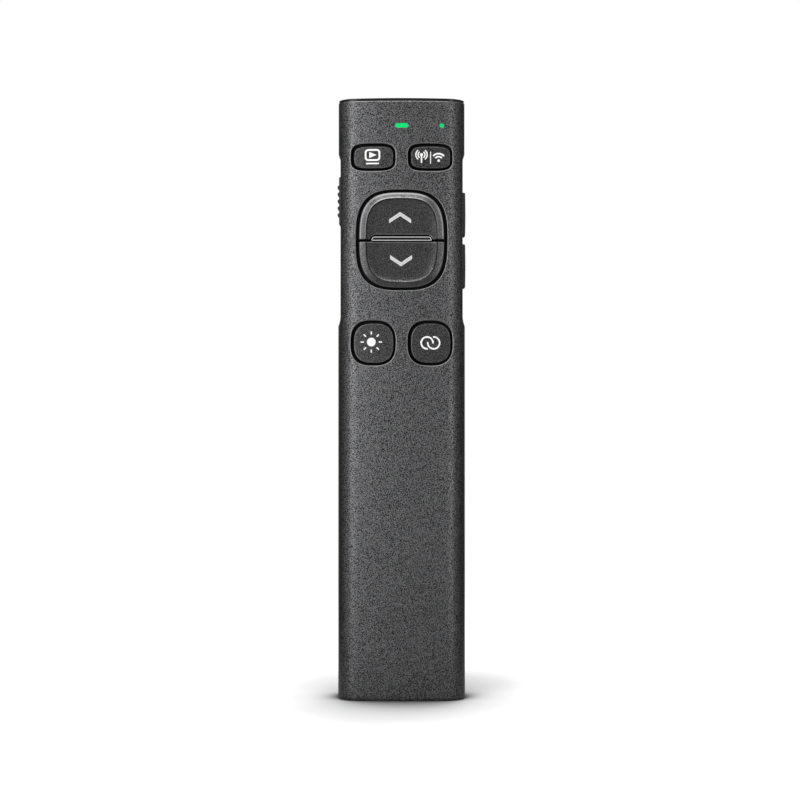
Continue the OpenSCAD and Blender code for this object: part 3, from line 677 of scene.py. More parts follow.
@dataclass(frozen=True)
class Opening:
    """An opening through a wall.

    Attributes:
        outline: drawn in the wall's own plane.
        floor: how far the outline is grown at the depths that its walls go down to.
        lip: radius of its outer edge.
        tub: outline of the walls behind it where they are closed by a floor.
    """

    outline: Outline
    floor: tuple[Pair, ...] = ()
    lip: float = 0.2
    tub: Outline | None = None


@dataclass(frozen=True)
class KeyPlace:
    """Place, opening and body of a front key."""

    name: str
    x: float
    z: float
    w: float
    h: float
    n: float

    def opening(self) -> Outline:
        """Returns the outline of the opening."""
        return superellipse(self.x, self.z, self.w, self.h, self.n)


SMALL_KEYS = (
    KeyPlace("play", -7.1, 135.3, 11.1, 6.8, 3.6),
    KeyPlace("mode", 7.1, 135.3, 11.1, 6.8, 3.6),
    KeyPlace("spotlight", -7.1, 89.1, 11.2, 11.2, 2.7),
    KeyPlace("link", 7.1, 89.1, 11.2, 11.2, 2.7),
)
PAD = KeyPlace("page", 0.0, 114.7, 22.8, 25.0, 3.0)
COLLAR_Y = 5.0
FLANGE_Y = 4.9
SWITCH_Y = 4.2
PLUNGER_Y = 3.8
PLUNGER_R = 1.3
SIDE_SPANS = ((103.1, 114.2), (116.1, 127.2))
SLIDE_SPAN = (119.0, 131.1)
SLIDE_TRAVEL = 2.0
SIDE_KEY_W = 4.2
SLIDE_W = 4.4
SIDE_GAP = 0.2
LIGHT_Z = 143.2
DOT_X = 10.0
SCREW_X = 9.5
SCREW_ZS = (34.8, 98.4)
SEAT_Y = 3.8
BAY = (14.8, 12.2, 31.2)
BAY_FLOOR = 0.9
PORT_Y = 0.78
PORT_SIZE = (8.94, 3.16)
SIDE_HOLES: dict[int, list[Pair]] = {
    1: [(a - SIDE_GAP, b + SIDE_GAP) for a, b in SIDE_SPANS],
    -1: [(SLIDE_SPAN[0] - SLIDE_TRAVEL - SIDE_GAP, SLIDE_SPAN[1] + SIDE_GAP)],
}


def side_outline(span: Pair, sx: int) -> Outline:
    """Draws half of a side opening as an open run from the parting plane.

    Args:
        span: its lower and upper end.
        sx: -1 for the left side, where the power slide is, and 1 for the right.

    Returns:
        The run, in distances from the parting plane and heights.
    """
    wide = (SIDE_KEY_W if sx > 0 else SLIDE_W) / 2 + SIDE_GAP
    low, high = span
    run = [wide * k / 4 for k in range(3)]
    corner = round_box(0.0, (low + high) / 2, 2 * wide, high - low, 1.0 if sx > 0 else 0.7)
    right = sorted((p for p in corner.points if p[0] > wide / 2 + 0.3), key=lambda p: p[1])
    points = [*((y, low) for y in run), *right, *((y, high) for y in reversed(run))]
    return Outline(points, closed=False)


def clip_low(ring: Sequence[Pair], count: int = 48) -> list[Pair]:
    """Keeps the part of a slot on the positive side and spreads its corners evenly.

    Args:
        ring: the slot's corners.
        count: how many corners to return.

    Returns:
        An open run from the left end to the right end.
    """
    kept: list[Pair] = []
    for (ax, ay), (bx, by) in zip(ring, [*ring[1:], ring[0]]):
        if ay > 0:
            kept.append((ax, ay))
        if (ay > 0) != (by > 0):
            kept.append((ax + (bx - ax) * ay / (ay - by), 0.0))
    start = min((i for i, p in enumerate(kept) if p[1] == 0.0), key=lambda i: kept[i][0])
    run = kept[start:] + kept[:start]
    if run[1][1] == 0.0:
        run = [run[0], *reversed(run[1:])]
    lengths = [0.0]
    for a, b in zip(run, run[1:]):
        lengths.append(lengths[-1] + math.dist(a, b))
    spread: list[Pair] = []
    for k in range(count):
        want = lengths[-1] * k / (count - 1)
        i = next((j for j, total in enumerate(lengths) if total >= want - 1e-9), len(run) - 1)
        i = max(1, i)
        share = (want - lengths[i - 1]) / max(1e-9, lengths[i] - lengths[i - 1])
        a, b = run[i - 1], run[i]
        spread.append((a[0] + (b[0] - a[0]) * share, a[1] + (b[1] - a[1]) * share))
    return spread


# --- The shells -----------------------------------------------------------------------


@dataclass
class NailNotch:
    """The scoop below the receiver's bay, a part of a cylinder across the back."""

    half_w: float = 3.5
    radius: float = 3.6
    middle: Pair = (8.4, 12.2)
    side_slope: float = 0.16

    def depth(self, x: float, z: float, surface: float) -> float:
        """Returns the surface's distance from the parting plane with the notch taken out."""
        rest = self.radius**2 - (z - self.middle[1]) ** 2
        share = min(1.0, max(0.0, (self.half_w + self.side_slope - abs(x)) / self.side_slope))
        if rest <= 0 or z > self.middle[1] or share == 0:
            return surface
        return surface - share * max(0.0, surface - self.middle[0] + math.sqrt(rest))

    def feature_points(self) -> list[Pair]:
        """Returns the places that its edges need in the skin."""
        top = self.middle[1] - math.sqrt(self.radius**2 - (self.middle[0] - 7.49) ** 2)
        edges = [s * (self.half_w + w) for s in (-1, 1) for w in (0, self.side_slope)]
        across = [*edges, *spaced(-3.1, 3.1, 0.4)]
        return [(x, z) for z in spaced(top, self.middle[1] - 0.75, 0.35) for x in across]


class HalfShell:
    """The front or the rear half of the housing, as one closed mesh."""

    PATCH_X = 13.5
    INNER_PATCH_X = 13.45
    REACH_X = 13.3
    SEAM_Y = 0.12
    SEAM_EASE = 0.1

    def __init__(
        self, side: int, openings: Sequence[Opening], notch: NailNotch | None = None
    ) -> None:
        """Sets up a half.

        Args:
            side: -1 for the front and 1 for the rear.
            openings: what is cut through its face.
            notch: the scoop in its face, if it has one.
        """
        self.side, self.openings, self.notch = side, openings, notch
        self.shape = Shape()
        self.inner_holes: list[list[int]] = []
        self.side_walls: dict[tuple[int, float], list[int]] = {}

    def face_point(self, x: float, z: float, deeper: float = 0.0) -> Vector:
        """Returns the point of the outer face over a place, or that far under it."""
        depth = FORM.outer.taken_in(FORM.inset(z)).depth(x)
        if self.notch:
            depth = self.notch.depth(x, z, depth)
        return Vector((x, self.side * (depth - deeper), z))

    def inner_point(self, x: float, z: float) -> Vector:
        """Returns the point of the cavity's face over a place."""
        return Vector((x, self.side * FORM.inner.depth(x), z))

    def flank(self, z: float) -> list[Pair]:
        """Returns the outer section from the face patch to the side's flat strip."""
        inset = FORM.inset(z)
        section = FORM.outer.taken_in(inset)
        ease, wide = max(0.2, FORM.crease_r - inset), FORM.half_width(z) - inset
        reach = section.edge_r - ease
        turn = math.asin(min(1.0, (wide - ease - section.edge_x) / reach))
        first = math.asin((self.PATCH_X - section.edge_x) / section.edge_r)
        low = section.edge_y + reach * math.cos(turn)
        points = arc(section.edge_x, section.edge_y, section.edge_r, first, turn, 8)
        return points + arc(wide - ease, low, ease, turn, math.pi / 2, 4)

    def inner_flank(self, _z: float) -> list[Pair]:
        """Returns the cavity's section from its face patch to the side's flat strip."""
        section = FORM.inner
        first = math.asin((self.INNER_PATCH_X - section.edge_x) / section.edge_r)
        return arc(section.edge_x, section.edge_y, section.edge_r, first, math.pi / 2, 4)

    def border(self, point: Lift, columns: list[float], rows: list[float]) -> tuple:
        """Adds the corners round a patch.

        Args:
            point: gives the corner over a place.
            columns: the places across of its corners.
            rows: the heights of its corners.

        Returns:
            Its left and right edge by side, its foot and its top, and the loop round it.
        """
        edges = {s: self.shape.add([point(s * columns[-1], z) for z in rows]) for s in (-1, 1)}
        ends = [
            [edges[-1][k], *self.shape.add([point(x, rows[k]) for x in columns[1:-1]]), edges[1][k]]
            for k in (0, -1)
        ]
        loop = [*ends[0], *edges[1][1:-1], *reversed(ends[1]), *reversed(edges[-1][1:-1])]
        return edges, ends, loop

    def face_patch(self, rows: list[float]) -> tuple:
        """Builds the middle of the outer face with its openings.

        Args:
            rows: heights of its corners.

        Returns:
            Its left and right edge by side, and its foot and top.
        """
        columns = spaced(-self.PATCH_X, self.PATCH_X, 1.0)
        edges, ends, loop = self.border(self.face_point, columns, rows)
        holes: list[list[int]] = []
        extra: list[Pair] = []
        keep_out: list[list[Pair]] = []
        for opening in self.openings:
            for ease in (0.05, 0.4):
                extra += opening.outline.grown(opening.lip + ease)
            keep_out.append(opening.outline.grown(opening.lip + 0.75))
            rim = opening.outline.grown(opening.lip)
            holes.append(self.shape.add([self.face_point(x, z) for x, z in rim]))
            self.line_opening(opening, holes[-1])
        if self.notch:
            extra += self.notch.feature_points()
            keep_out.append([(-4, 8), (4, 8), (4, 13), (-4, 13)])
        extra += [
            (x, z)
            for x in columns[1:-1]
            for z in rows[1:-1]
            if not any(inside((x, z), ring) for ring in keep_out)
        ]
        self.shape.fill([loop, *holes], extra, lambda p: (p.x, p.z), self.face_point)
        return edges, ends

    def line_opening(self, opening: Opening, ring: list[int]) -> None:
        """Builds the lip and the walls of one opening, down to the cavity or its floor."""
        shape, outline = self.shape, opening.outline
        # The lip is in the lighter lip grey, a painted highlight line; the walls under it are black
        # moulding, unpainted plastic that also stands in for the shade in the gap.
        shape.mark = 1
        levels = eased(opening.lip, way=1)[1:]
        ring = shape.sweep(outline.raised(self.face_point, levels), ring)
        shape.mark = 2
        for grow, y in opening.floor:
            reach = self.REACH_X if grow > 0 else math.inf
            points = [(max(-reach, min(reach, x)), z) for x, z in outline.grown(grow)]
            ring = shape.sweep([[Vector((x, self.side * y, z)) for x, z in points]], ring)
        if opening.tub:
            shape.face(ring)
            ring = shape.add([Vector((x, 0.0, z)) for x, z in opening.tub.points])
            shape.face(ring)
        points = [shape.points[i] for i in ring]
        self.inner_holes.append(shape.sweep([[self.inner_point(p.x, p.z) for p in points]], ring))
        shape.mark = 0

    def strip(self, sx: int, edge: list[int], rows: list[float], inner: bool) -> list[int]:
        """Builds one side's flat strip down to the parting plane.

        Args:
            sx: -1 for the left and 1 for the right.
            edge: corner numbers along its outer edge, one for each row.
            rows: their heights.
            inner: whether it is the cavity's.

        Returns:
            The corner numbers of its ends at the parting plane, bottom and top.
        """
        shape, side, spans = self.shape, self.side, SIDE_HOLES[sx]
        ease = 0.0 if inner else self.SEAM_EASE

        def lift(y: float, z: float) -> Vector:
            """Returns the strip's point at a distance from the parting plane."""
            wide = FORM.inner.half_w if inner else FORM.half_width(z) - FORM.inset(z)
            return Vector((sx * (wide - ease * max(0.0, 1 - y / self.SEAM_Y)), side * y, z))

        middle = [row for row in rows if not any(a - 0.35 < row < b + 0.35 for a, b in spans)]
        feet = {row: shape.add([lift(0, row)])[0] for row in middle}
        line: list[int] = []
        for row in middle:
            for low, high in spans:
                if line and row > high and shape.points[line[-1]].z < low:
                    line += self.side_ring(sx, low, high, lift, inner)
            line.append(feet[row])
        extra: list[Pair] = []
        if not inner:
            extra = [(self.SEAM_Y, row) for row in middle[1:-1]]
            for half in (side_outline(ends, sx) for ends in spans):
                for grow in (0.2, 0.55):
                    extra += [p for p in half.grown(grow) if p[0] > 0.1]
                extra += [(self.SEAM_Y, half.grown(0.2)[k][1]) for k in (0, -1)]
            near = SIDE_KEY_W / 2 + 0.9
            for row, i in [*zip(rows, edge)][1:-1]:
                ring_near = any(a - 0.5 < row < b + 0.5 for a, b in spans)
                reach = [abs(shape.points[i].y) * share for share in (0.35, 0.7)]
                extra += [(y, row) for y in reach if not (ring_near and y < near)]
        shape.fill([[*edge, *reversed(line)]], extra, lambda p: (abs(p.y), p.z), lift)
        return [line[0], line[-1]]

    def side_ring(self, sx: int, low: float, high: float, lift: Lift, inner: bool) -> list[int]:
        """Returns the corners round half a side opening, and lines it from the outside."""
        shape, half, key = self.shape, side_outline((low, high), sx), (sx, low)
        if inner:
            ring = shape.add([lift(y, z) for y, z in half.points])
            shape.bridge(self.side_walls[key], ring, closed=False)
            return ring
        shape.mark = 2
        levels = eased(0.15, 3, 1)
        sunk = lambda y, z, deeper: lift(y, z) - Vector((sx * deeper, 0, 0))
        rings = [shape.add(points) for points in half.raised(sunk, levels)]
        for a, b in zip(rings, rings[1:]):
            shape.bridge(a, b, closed=False)
        shape.mark = 0
        self.side_walls[key] = rings[-1]
        return rings[0]

    def sides(
        self, edges: dict, rows: list[float], flank: Callable[[float], list[Pair]], inner: bool
    ) -> tuple[dict, dict]:
        """Builds both sides, from a patch's edges to the parting plane.

        Args:
            edges: the patch's left and right edge, by side.
            rows: heights of their corners.
            flank: gives the section between the patch and the flat strip at a height.
            inner: whether they are the cavity's.

        Returns:
            The corner numbers along their foot and along their top, by side.
        """
        feet, tops = {}, {}
        for sx in (-1, 1):
            runs = [edges[sx]]
            for places in zip(*(flank(z) for z in rows)):
                points = [Vector((sx * x, self.side * y, z)) for (x, y), z in zip(places, rows)]
                runs.append(self.shape.add(points))
                self.shape.bridge(runs[-2], runs[-1], closed=False)
            low, high = self.strip(sx, runs[-1], rows, inner)
            feet[sx] = [*(run[0] for run in runs[1:]), low]
            tops[sx] = [*(run[-1] for run in runs[1:]), high]
        return feet, tops

    def build(self, name: str) -> bpy.types.Object:
        """Builds the whole half.

        Args:
            name: of the piece.

        Returns:
            The finished object.
        """
        shape, rows = self.shape, FORM.rows()
        edges, ends = self.face_patch(rows)
        foot, top = self.sides(edges, rows, self.flank, False)
        # The upper edge's rounding: a painted highlight band in the lip grey up to that height,
        # black moulding above it.
        for i, face in enumerate(shape.faces):
            heights = [shape.points[k].z for k in face]
            if min(heights) > FORM.shell_l - FORM.top_r - 0.01:
                shape.marks[i] = 1 if max(heights) < FORM.painted_highlight_z else 2
        shape.mark = 2
        rows = [FORM.tail_wall, *(z for z in rows if z > FORM.tail_wall + 0.3)]
        columns = spaced(-self.INNER_PATCH_X, self.INNER_PATCH_X, 2.0)
        edges, inner_ends, loop = self.border(self.inner_point, columns, rows)
        shape.fill([loop, *self.inner_holes], [], lambda p: (p.x, p.z), self.inner_point)
        tail, mouth = self.sides(edges, rows, self.inner_flank, True)
        shape.mark = 0
        self.close_foot([*reversed(foot[-1]), *ends[0], *foot[1]],
                        [*reversed(tail[-1]), *inner_ends[0], *tail[1]])
        outer = [*reversed(top[-1]), *ends[1], *top[1]]
        inner = [*reversed(mouth[-1]), *inner_ends[1], *mouth[1]]
        shape.face([*outer, *reversed(inner)])
        return shape.build(name, PAINT.material(), LIP_HIGHLIGHT.material(), MOULDING_AND_SHADE.material())

    def close_foot(self, outer: list[int], inner: list[int]) -> None:
        """Closes the tail's outer and inner face round the charging port."""
        w, h = (size + 0.2 for size in PORT_SIZE)
        rings = bar_slot(w, h, 0.0, PORT_Y).raised(
            lambda x, y, z: Vector((x, self.side * y, z)),
            [*eased(0.2, 3, 1), (0.0, FORM.tail_wall)],
        )
        runs: list[list[int]] = []
        for ring in rings:
            cut = clip_low([(p.x, p.y) for p in ring])
            runs.append(self.shape.add([Vector((x, self.side * y, ring[0].z)) for x, y in cut]))
        self.shape.face([*outer, *reversed(runs[0])])
        for a, b in zip(runs, runs[1:]):
            self.shape.bridge(a, b, closed=False)
        self.shape.face([*inner, *reversed(runs[-1])])


class Housing:
    """The two shells."""

    BAY_WALL = 0.9

    def front(self) -> bpy.types.Object:
        """Builds the front shell."""
        collar = ((0.0, COLLAR_Y), (0.8, COLLAR_Y))
        cuts = [Opening(key.opening(), collar, 0.24) for key in (*SMALL_KEYS, PAD)]
        cuts.append(Opening(bar_slot(3.35, 1.2, 0.0, LIGHT_Z), (), 0.06))
        cuts.append(Opening(disc(DOT_X, LIGHT_Z, 0.59), (), 0.05))
        piece = HalfShell(-1, cuts).build("housing_front")
        return dress(piece, "housing", "housing_paint", "front_shell")

    def rear(self) -> bpy.types.Object:
        """Builds the rear shell with the receiver's bay, the nail notch and screw holes."""
        (w, low, high), wall = BAY, self.BAY_WALL
        notch = NailNotch()
        wide, slim, block = w / 2 + wall, notch.half_w + wall, 4.0
        half = [(slim, 7.7), (slim, low - wall), (wide, low - wall), (wide, high + wall)]
        half += [(block, high + wall), (block, high + 3.3)]
        tub = rounded([*half, *((-x, z) for x, z in reversed(half))], 0.3, steps=2)
        cuts = [Opening(self.bay_outline(notch), ((0.0, BAY_FLOOR),), 0.2, tub)]
        steps = ((0.0, SEAT_Y), (-0.85, SEAT_Y), (-0.85, 0.1), (0.9, 0.1))
        holes = [disc(s * SCREW_X, z, 2.0, 48) for z in SCREW_ZS for s in (-1, 1)]
        cuts += [Opening(hole, steps, 0.15) for hole in holes]
        piece = HalfShell(1, cuts, notch).build("housing_rear")
        return dress(piece, "housing", "housing_paint", "rear_shell")

    @staticmethod
    def bay_outline(notch: NailNotch) -> Outline:
        """Draws the bay's mouth, with corners where the nail notch meets it."""
        w, low, high = BAY
        box = round_box(0.0, (low + high) / 2, w, high - low, 0.5).points
        marks = [notch.half_w + notch.side_slope, notch.half_w]
        bottom = [-x for x in marks] + spaced(-3.0, 3.0, 0.75) + marks[::-1]
        left, right = box[: len(box) // 4], box[len(box) // 4 :]
        sides = [(w / 2, z) for z in spaced(low + 2, high - 2, 2.0)]
        points = left + [(x, low) for x in bottom] + right[: len(right) // 3]
        points += sides + right[len(right) // 3 :] + [(-x, z) for x, z in reversed(sides)]
        return Outline(points)


# --- Keys on the front ----------------------------------------------------------------


def key_surface(sink: float) -> Place:
    """Returns the surface that follows the housing's crown, a little under it."""
    section = FORM.outer.taken_in(sink)
    return lambda x, z, deeper=0.0: Vector((x, deeper - section.depth(x), z))


def front_point(x: float, z: float, y: float) -> Vector:
    """Returns the point over a place at a distance in front of the parting plane."""
    return Vector((x, -y, z))


def add_plunger(shape: Shape, x: float, z: float) -> None:
    """Adds the round plunger that reaches from a key's flange to its switch."""
    ends = (front_point(x, z, y) for y in (SWITCH_Y + 0.2, PLUNGER_Y))
    shape.tube(*ends, PLUNGER_R, 0.1)


@dataclass
class SmallKey:
    """A key in the front whose face follows the housing, with a turned edge."""

    place: KeyPlace
    gap: float = 0.35
    sink: float = 0.2
    dish: float = 0.08
    flange: float = 0.75
    reach: float = 13.9
    grid: float = 0.45
    shift: Pair = (0.2, -0.07)
    profile: tuple[Pair, ...] = (
        (0.5, 0.0), (0.4, 0.03), (0.32, 0.1), (0.26, 0.24), (0.2, 0.45), (0.12, 0.85), (0.04, 1.3)
    )

    def ring(self, outline: Outline, inset: float) -> list[Pair]:
        """Takes the outline in, more at the left and the top than at the right and the bottom."""
        share = min(1.0, inset / self.profile[0][0])
        dx, dz = self.shift
        return [(x + dx * share, z + dz * share) for x, z in outline.grown(-inset)]

    def surface(self, x: float, z: float, deeper: float = 0.0) -> Vector:
        """Returns the point of the key's face, which is dished a little, or one under it."""
        p = self.place
        u, v = (x - p.x) / (p.w / 2), (z - p.z) / (p.h / 2)
        share = max(0.0, 1 - (abs(u) ** p.n + abs(v) ** p.n))
        return key_surface(self.sink)(x, z, deeper + self.dish * min(1.0, share * 2.2))

    def build(self) -> bpy.types.Object:
        """Builds the key with its flange and plunger.

        Returns:
            The finished object.
        """
        p, shape = self.place, Shape()
        outline = superellipse(p.x, p.z, p.w - 2 * self.gap, p.h - 2 * self.gap, p.n)
        ring = shape.add([self.surface(x, z) for x, z in self.ring(outline, 0.55)])
        keep = self.ring(outline, 1.05)
        inner = [
            (x, z)
            for x in spaced(p.x - p.w / 2, p.x + p.w / 2, self.grid)
            for z in spaced(p.z - p.h / 2, p.z + p.h / 2, self.grid)
            if inside((x, z), keep)
        ]
        inner += [*self.ring(outline, 0.7), *self.ring(outline, 0.88)]
        shape.fill([ring], inner, lambda q: (q.x, q.z), self.surface)
        rings = [
            [self.surface(x, z, deeper) for x, z in self.ring(outline, inset)]
            for inset, deeper in self.profile
        ]
        # The edge's first rings are in the rim grey, a painted highlight line, and the bevel under
        # them is black, painted shade.
        for shape.mark, part in ((1, rings[:2]), (2, rings[2:])):
            ring = shape.sweep(part, ring)
        wide, rings = self.gap + self.flange, []
        for grow, y in ((0.0, FLANGE_Y), (wide, FLANGE_Y), (wide, SWITCH_Y)):
            points = [(max(-self.reach, min(self.reach, x)), z) for x, z in outline.grown(grow)]
            rings.append([front_point(x, z, min(y, FORM.inner.depth(x) - 0.1)) for x, z in points])
        shape.sweep(rings, ring, head=True)
        add_plunger(shape, p.x, p.z)
        finishes = (KEY_SKIN, RIM_AND_HIGHLIGHT, MOULDING_AND_SHADE)
        piece = shape.build(f"key_{p.name}", *(finish.material() for finish in finishes))
        return dress(piece, p.name, "key_grey", f"{p.name}_key")


@dataclass
class PagePad:
    """The two large page keys: bevelled rim, dished face and a split with a notch."""

    gap_x: float = 0.75
    gap_z: float = 0.55
    rim_y: float = 7.3
    rim_h: float = 0.75
    dish: float = 0.7
    face_half: Pair = (8.9, 10.36)
    face_n: float = 3.15
    face_drop: float = 1.03
    flat: float = 0.72
    climb_power: float = 2.2
    wall: float = 0.022
    # Share of the way out to the rim's inner edge from which a painted highlight crescent in the
    # rim grey covers the lower key's dish.
    painted_crescent: float = 0.945
    split_z: float = 114.5
    split_gap: float = 0.35
    edge: float = 0.26
    bar_l: float = 15.4
    bar_h: float = 1.2
    bar_gap: float = 0.2
    bar_lean: float = 0.8
    flange: float = 0.75

    def __post_init__(self) -> None:
        """Works out half the pad's width and height."""
        self.half_w = PAD.w / 2 - self.gap_x
        self.half_h = PAD.h / 2 - self.gap_z

    def edge_z(self, upper: bool) -> float:
        """Returns the height of a key's edge at the split."""
        return self.split_z + (1 if upper else -1) * self.split_gap / 2

    def shares(self, x: float, z: float) -> Pair:
        """Returns the shares of the way out to the rim's outer and inner edge."""
        drop = self.face_drop if z < PAD.z else 1
        sizes = ((self.half_w, self.half_h, PAD.n),
                 (self.face_half[0], self.face_half[1] * drop, self.face_n))
        u, v = abs(x), abs(z - PAD.z)
        return tuple(((u / w) ** n + (v / h) ** n) ** (1 / n) for w, h, n in sizes)

    def surface(self, x: float, z: float, deeper: float = 0.0) -> Vector:
        """Returns the point of the pad's face over a place, or one under it."""
        outer, inner = self.shares(x, z)
        if inner >= 1:
            rise = self.rim_h * max(0.0, 1 - outer) / max(1e-6, inner - outer)
        else:
            low = max(0.0, (PAD.z - z) / self.face_half[1])
            climb = max(0.0, (inner - self.flat) / (1 - self.flat)) ** self.climb_power
            gentle = 0.35 * climb + 0.65 * max(0.0, 1 - (1 - inner) / self.wall)
            weight = min(1.0, max(0.0, 1.6 * low - 0.5))
            rise = self.rim_h - self.dish * (1 - gentle - weight * (climb - gentle))
        return Vector((x, deeper - self.rim_y - rise, z))

    def ring(self, share: float) -> list[Pair]:
        """Returns the outline at a share of its size."""
        w, h = 2 * self.half_w * share, 2 * self.half_h * share
        return superellipse(0.0, PAD.z, w, h, PAD.n, 160).points

    def face_ring(self, share: float) -> list[Pair]:
        """Returns the rim's inner edge at a share of its size, with a taller lower half."""
        w, h = (2 * half * share for half in self.face_half)
        ring = superellipse(0.0, 0.0, w, h, self.face_n, 160).points
        return [(x, PAD.z + z * (self.face_drop if z < 0 else 1)) for x, z in ring]

    def outline(self, upper: bool) -> Outline:
        """Draws one key's outline, anticlockwise, the upper one with the bar's notch."""
        sign, edge_z = 1 if upper else -1, self.edge_z(upper)
        turned = [(sign * x, sign * (z - edge_z)) for x, z in self.ring(1.0)]
        around = sorted((p for p in turned if p[1] > 0.35), key=lambda p: math.atan2(p[1], p[0]))
        side, r = self.half_w - 0.002, 0.3
        turns = [math.pi / 2 * k / 4 for k in range(5)]
        left = [(r * (1 - math.cos(a)) - side, r * (1 - math.sin(a))) for a in turns]
        left += [(s - side, 0.0) for s in (0.45, 0.7, 0.95, 1.2, 1.35, 1.45, 1.55, 1.7, 1.9, 2.1)]
        middle = [(x, 0.0) for x in spaced(2.6 - side, side - 2.6, 0.9)]
        if upper:
            foot, top, ceiling = self.notch()
            corners = [(-foot - 1, -1), (-top, ceiling), (top, ceiling), (foot + 1, -1)]
            bends = [p for p in rounded(corners, 0.6).points if p[1] > 0.12]
            half = len(bends) // 2
            middle = [(-foot, 0.0), *bends[:half], *((x, ceiling) for x in spaced(-5.6, 5.6, 0.8))]
            middle += [*bends[half:], (foot, 0.0)]
        run = [*around, *left, *middle, *((-u, w) for u, w in reversed(left))]
        return Outline([(sign * u, edge_z + sign * w) for u, w in run])

    def notch(self) -> Triple:
        """Works out the notch for the bar.

        Returns:
            Its half width at the key's edge and at its ceiling, and the ceiling's height
            over that edge.
        """
        wide = self.bar_l / 2 + self.bar_gap * math.hypot(1, self.bar_lean)
        low, high = self.split_gap / 2, self.bar_h + self.bar_gap
        return wide - self.bar_lean * low, wide - self.bar_lean * high, high - low

    def build(self, upper: bool) -> bpy.types.Object:
        """Builds the upper or the lower page key.

        Returns:
            The finished object.
        """
        shape, outline, edge_z = Shape(), self.outline(upper), self.edge_z(upper)
        levels = eased(self.edge, 4)
        ring = shape.add([self.surface(x, z) for x, z in outline.grown(levels[0][0] - 0.03)])
        keep = outline.grown(-self.edge - 0.16)
        shares = [1.03, 1.008, 1.0, 0.992, 0.978, 0.96, 0.93, 0.9, 0.86, 0.82, 0.78, 0.74]
        shares += [0.1 * k for k in range(1, 7)] + [0.67]
        inner = [p for s in (0.98, 0.95, 0.91) for p in self.ring(s)]
        for s in shares:
            inner += self.face_ring(s)[:: 1 if s > 0.7 else 4]
        self.fill_face(shape, ring, [p for p in inner if inside(p, keep)], upper)
        first = len(shape.faces)
        # The edge's first two levels are a painted highlight line and the rest is black, painted
        # shade; on the upper key the edge along the split is all black, painted shade.
        for shape.mark, part in ((2, levels[:2]), (3, levels[2:])):
            ring = shape.sweep(outline.raised(self.surface, part), ring)
        for i in range(first, len(shape.faces)) if upper else ():
            if abs(shape.points[shape.faces[i][0]].z - edge_z) < 0.32:
                shape.marks[i] = 3
        kx, kz = 1 + self.flange / self.half_w, 1 + self.flange / self.half_h
        wide = [
            (x * kx, z if abs(z - edge_z) < 2.2 else PAD.z + (z - PAD.z) * kz)
            for x, z in outline.points
        ]
        skirt = ((outline.points, FLANGE_Y), (wide, FLANGE_Y), (wide, SWITCH_Y))
        rings = [[front_point(x, z, y) for x, z in points] for points, y in skirt]
        shape.sweep(rings, ring, head=True)
        middle = self.split_z + (1 if upper else -1) * PAD.h / 4
        add_plunger(shape, 0.0, middle)
        name = "page_back" if upper else "page_next"
        finishes = (PAD_SKIN, RIM_AND_HIGHLIGHT, PAGE_EDGE_HIGHLIGHT, MOULDING_AND_SHADE)
        piece = shape.build(f"key_{name}", *(finish.material() for finish in finishes))
        return dress(piece, name, "pad_grey", f"{name}_key")

    def fill_face(self, shape: Shape, ring: list[int], inner: list[Pair], upper: bool) -> None:
        """Fills the face, with the rim in its own finish, painted highlight lines along the upper
        key's rim, a painted shadow line where the face meets the rim and a painted highlight
        crescent low in the lower key's dish.
        """
        first = len(shape.faces)
        shape.fill([ring], inner, lambda q: (q.x, q.z), self.surface)
        for i in range(first, len(shape.faces)):
            middle = sum((shape.points[k] for k in shape.faces[i]), Vector()) / 3
            outer, within = self.shares(middle.x, middle.z)
            if within > 1:
                shape.marks[i] = 2 if upper and (within < 1.03 or outer > 0.952) else 1
            # The narrow wall where the face meets the rim is black: a painted shadow line.
            elif within > 1 - self.wall:
                shape.marks[i] = 3
            # Low in the lower key's dish the rim grey paints a highlight crescent.
            elif within > self.painted_crescent and middle.z < PAD.z - 7:
                shape.marks[i] = 1


@dataclass
class DividerBar:
    """The bar between the page keys: a bright metal frame, which also stands in for the highlights
    on its bevels, round a gloss black window.
    """

    pad: PagePad
    sink: float = 0.35
    frame: float = 0.2
    lean: float = 0.55
    ease: float = 0.06
    lit_h: float = 1.0

    def build(self) -> bpy.types.Object:
        """Builds the bar down to the board."""
        pad, shape = self.pad, Shape()
        front = pad.rim_y + pad.rim_h - self.sink
        sunk = lambda x, z, deeper: front_point(x, z, front - deeper)
        lit = self.outline(pad.bar_l / 2 - self.ease, self.lit_h)
        levels = [(-self.frame, 0.02), (0.02 - self.frame, 0.0), (-0.04, 0.0), (0.0, 0.04)]
        shape.mark = 1
        ring = shape.sweep(lit.raised(sunk, [(-self.frame, 0.3)]), foot=True)
        shape.mark = 0
        ring = shape.sweep(lit.raised(sunk, levels), ring)
        shape.mark = 1
        rings = self.outline(pad.bar_l / 2, pad.bar_h).raised(sunk, [(0, 0.3), (0, front - 1.8)])
        shape.sweep(rings, ring, head=True)
        piece = shape.build("divider", FRAME_HIGHLIGHT.material(), MOULDING_AND_SHADE.material())
        return dress(piece, "housing", "bar_gloss", "divider_bar")

    def outline(self, half: float, height: float) -> Outline:
        """Draws the bar's outline from half its length and its height."""
        low, top = self.pad.split_z, half - height * self.lean
        corners = [(-half, low), (half, low), (top, low + height), (-top, low + height)]
        return rounded(corners, 0.22, 0.22, 0.6, 0.6)


# --- Printed signs --------------------------------------------------------------------


class Sign(Enum):
    """The signs printed on the front keys."""

    SCREEN = "screen"
    ANTENNA = "antenna"
    UP = "up"
    DOWN = "down"
    SUN = "sun"
    RINGS = "rings"


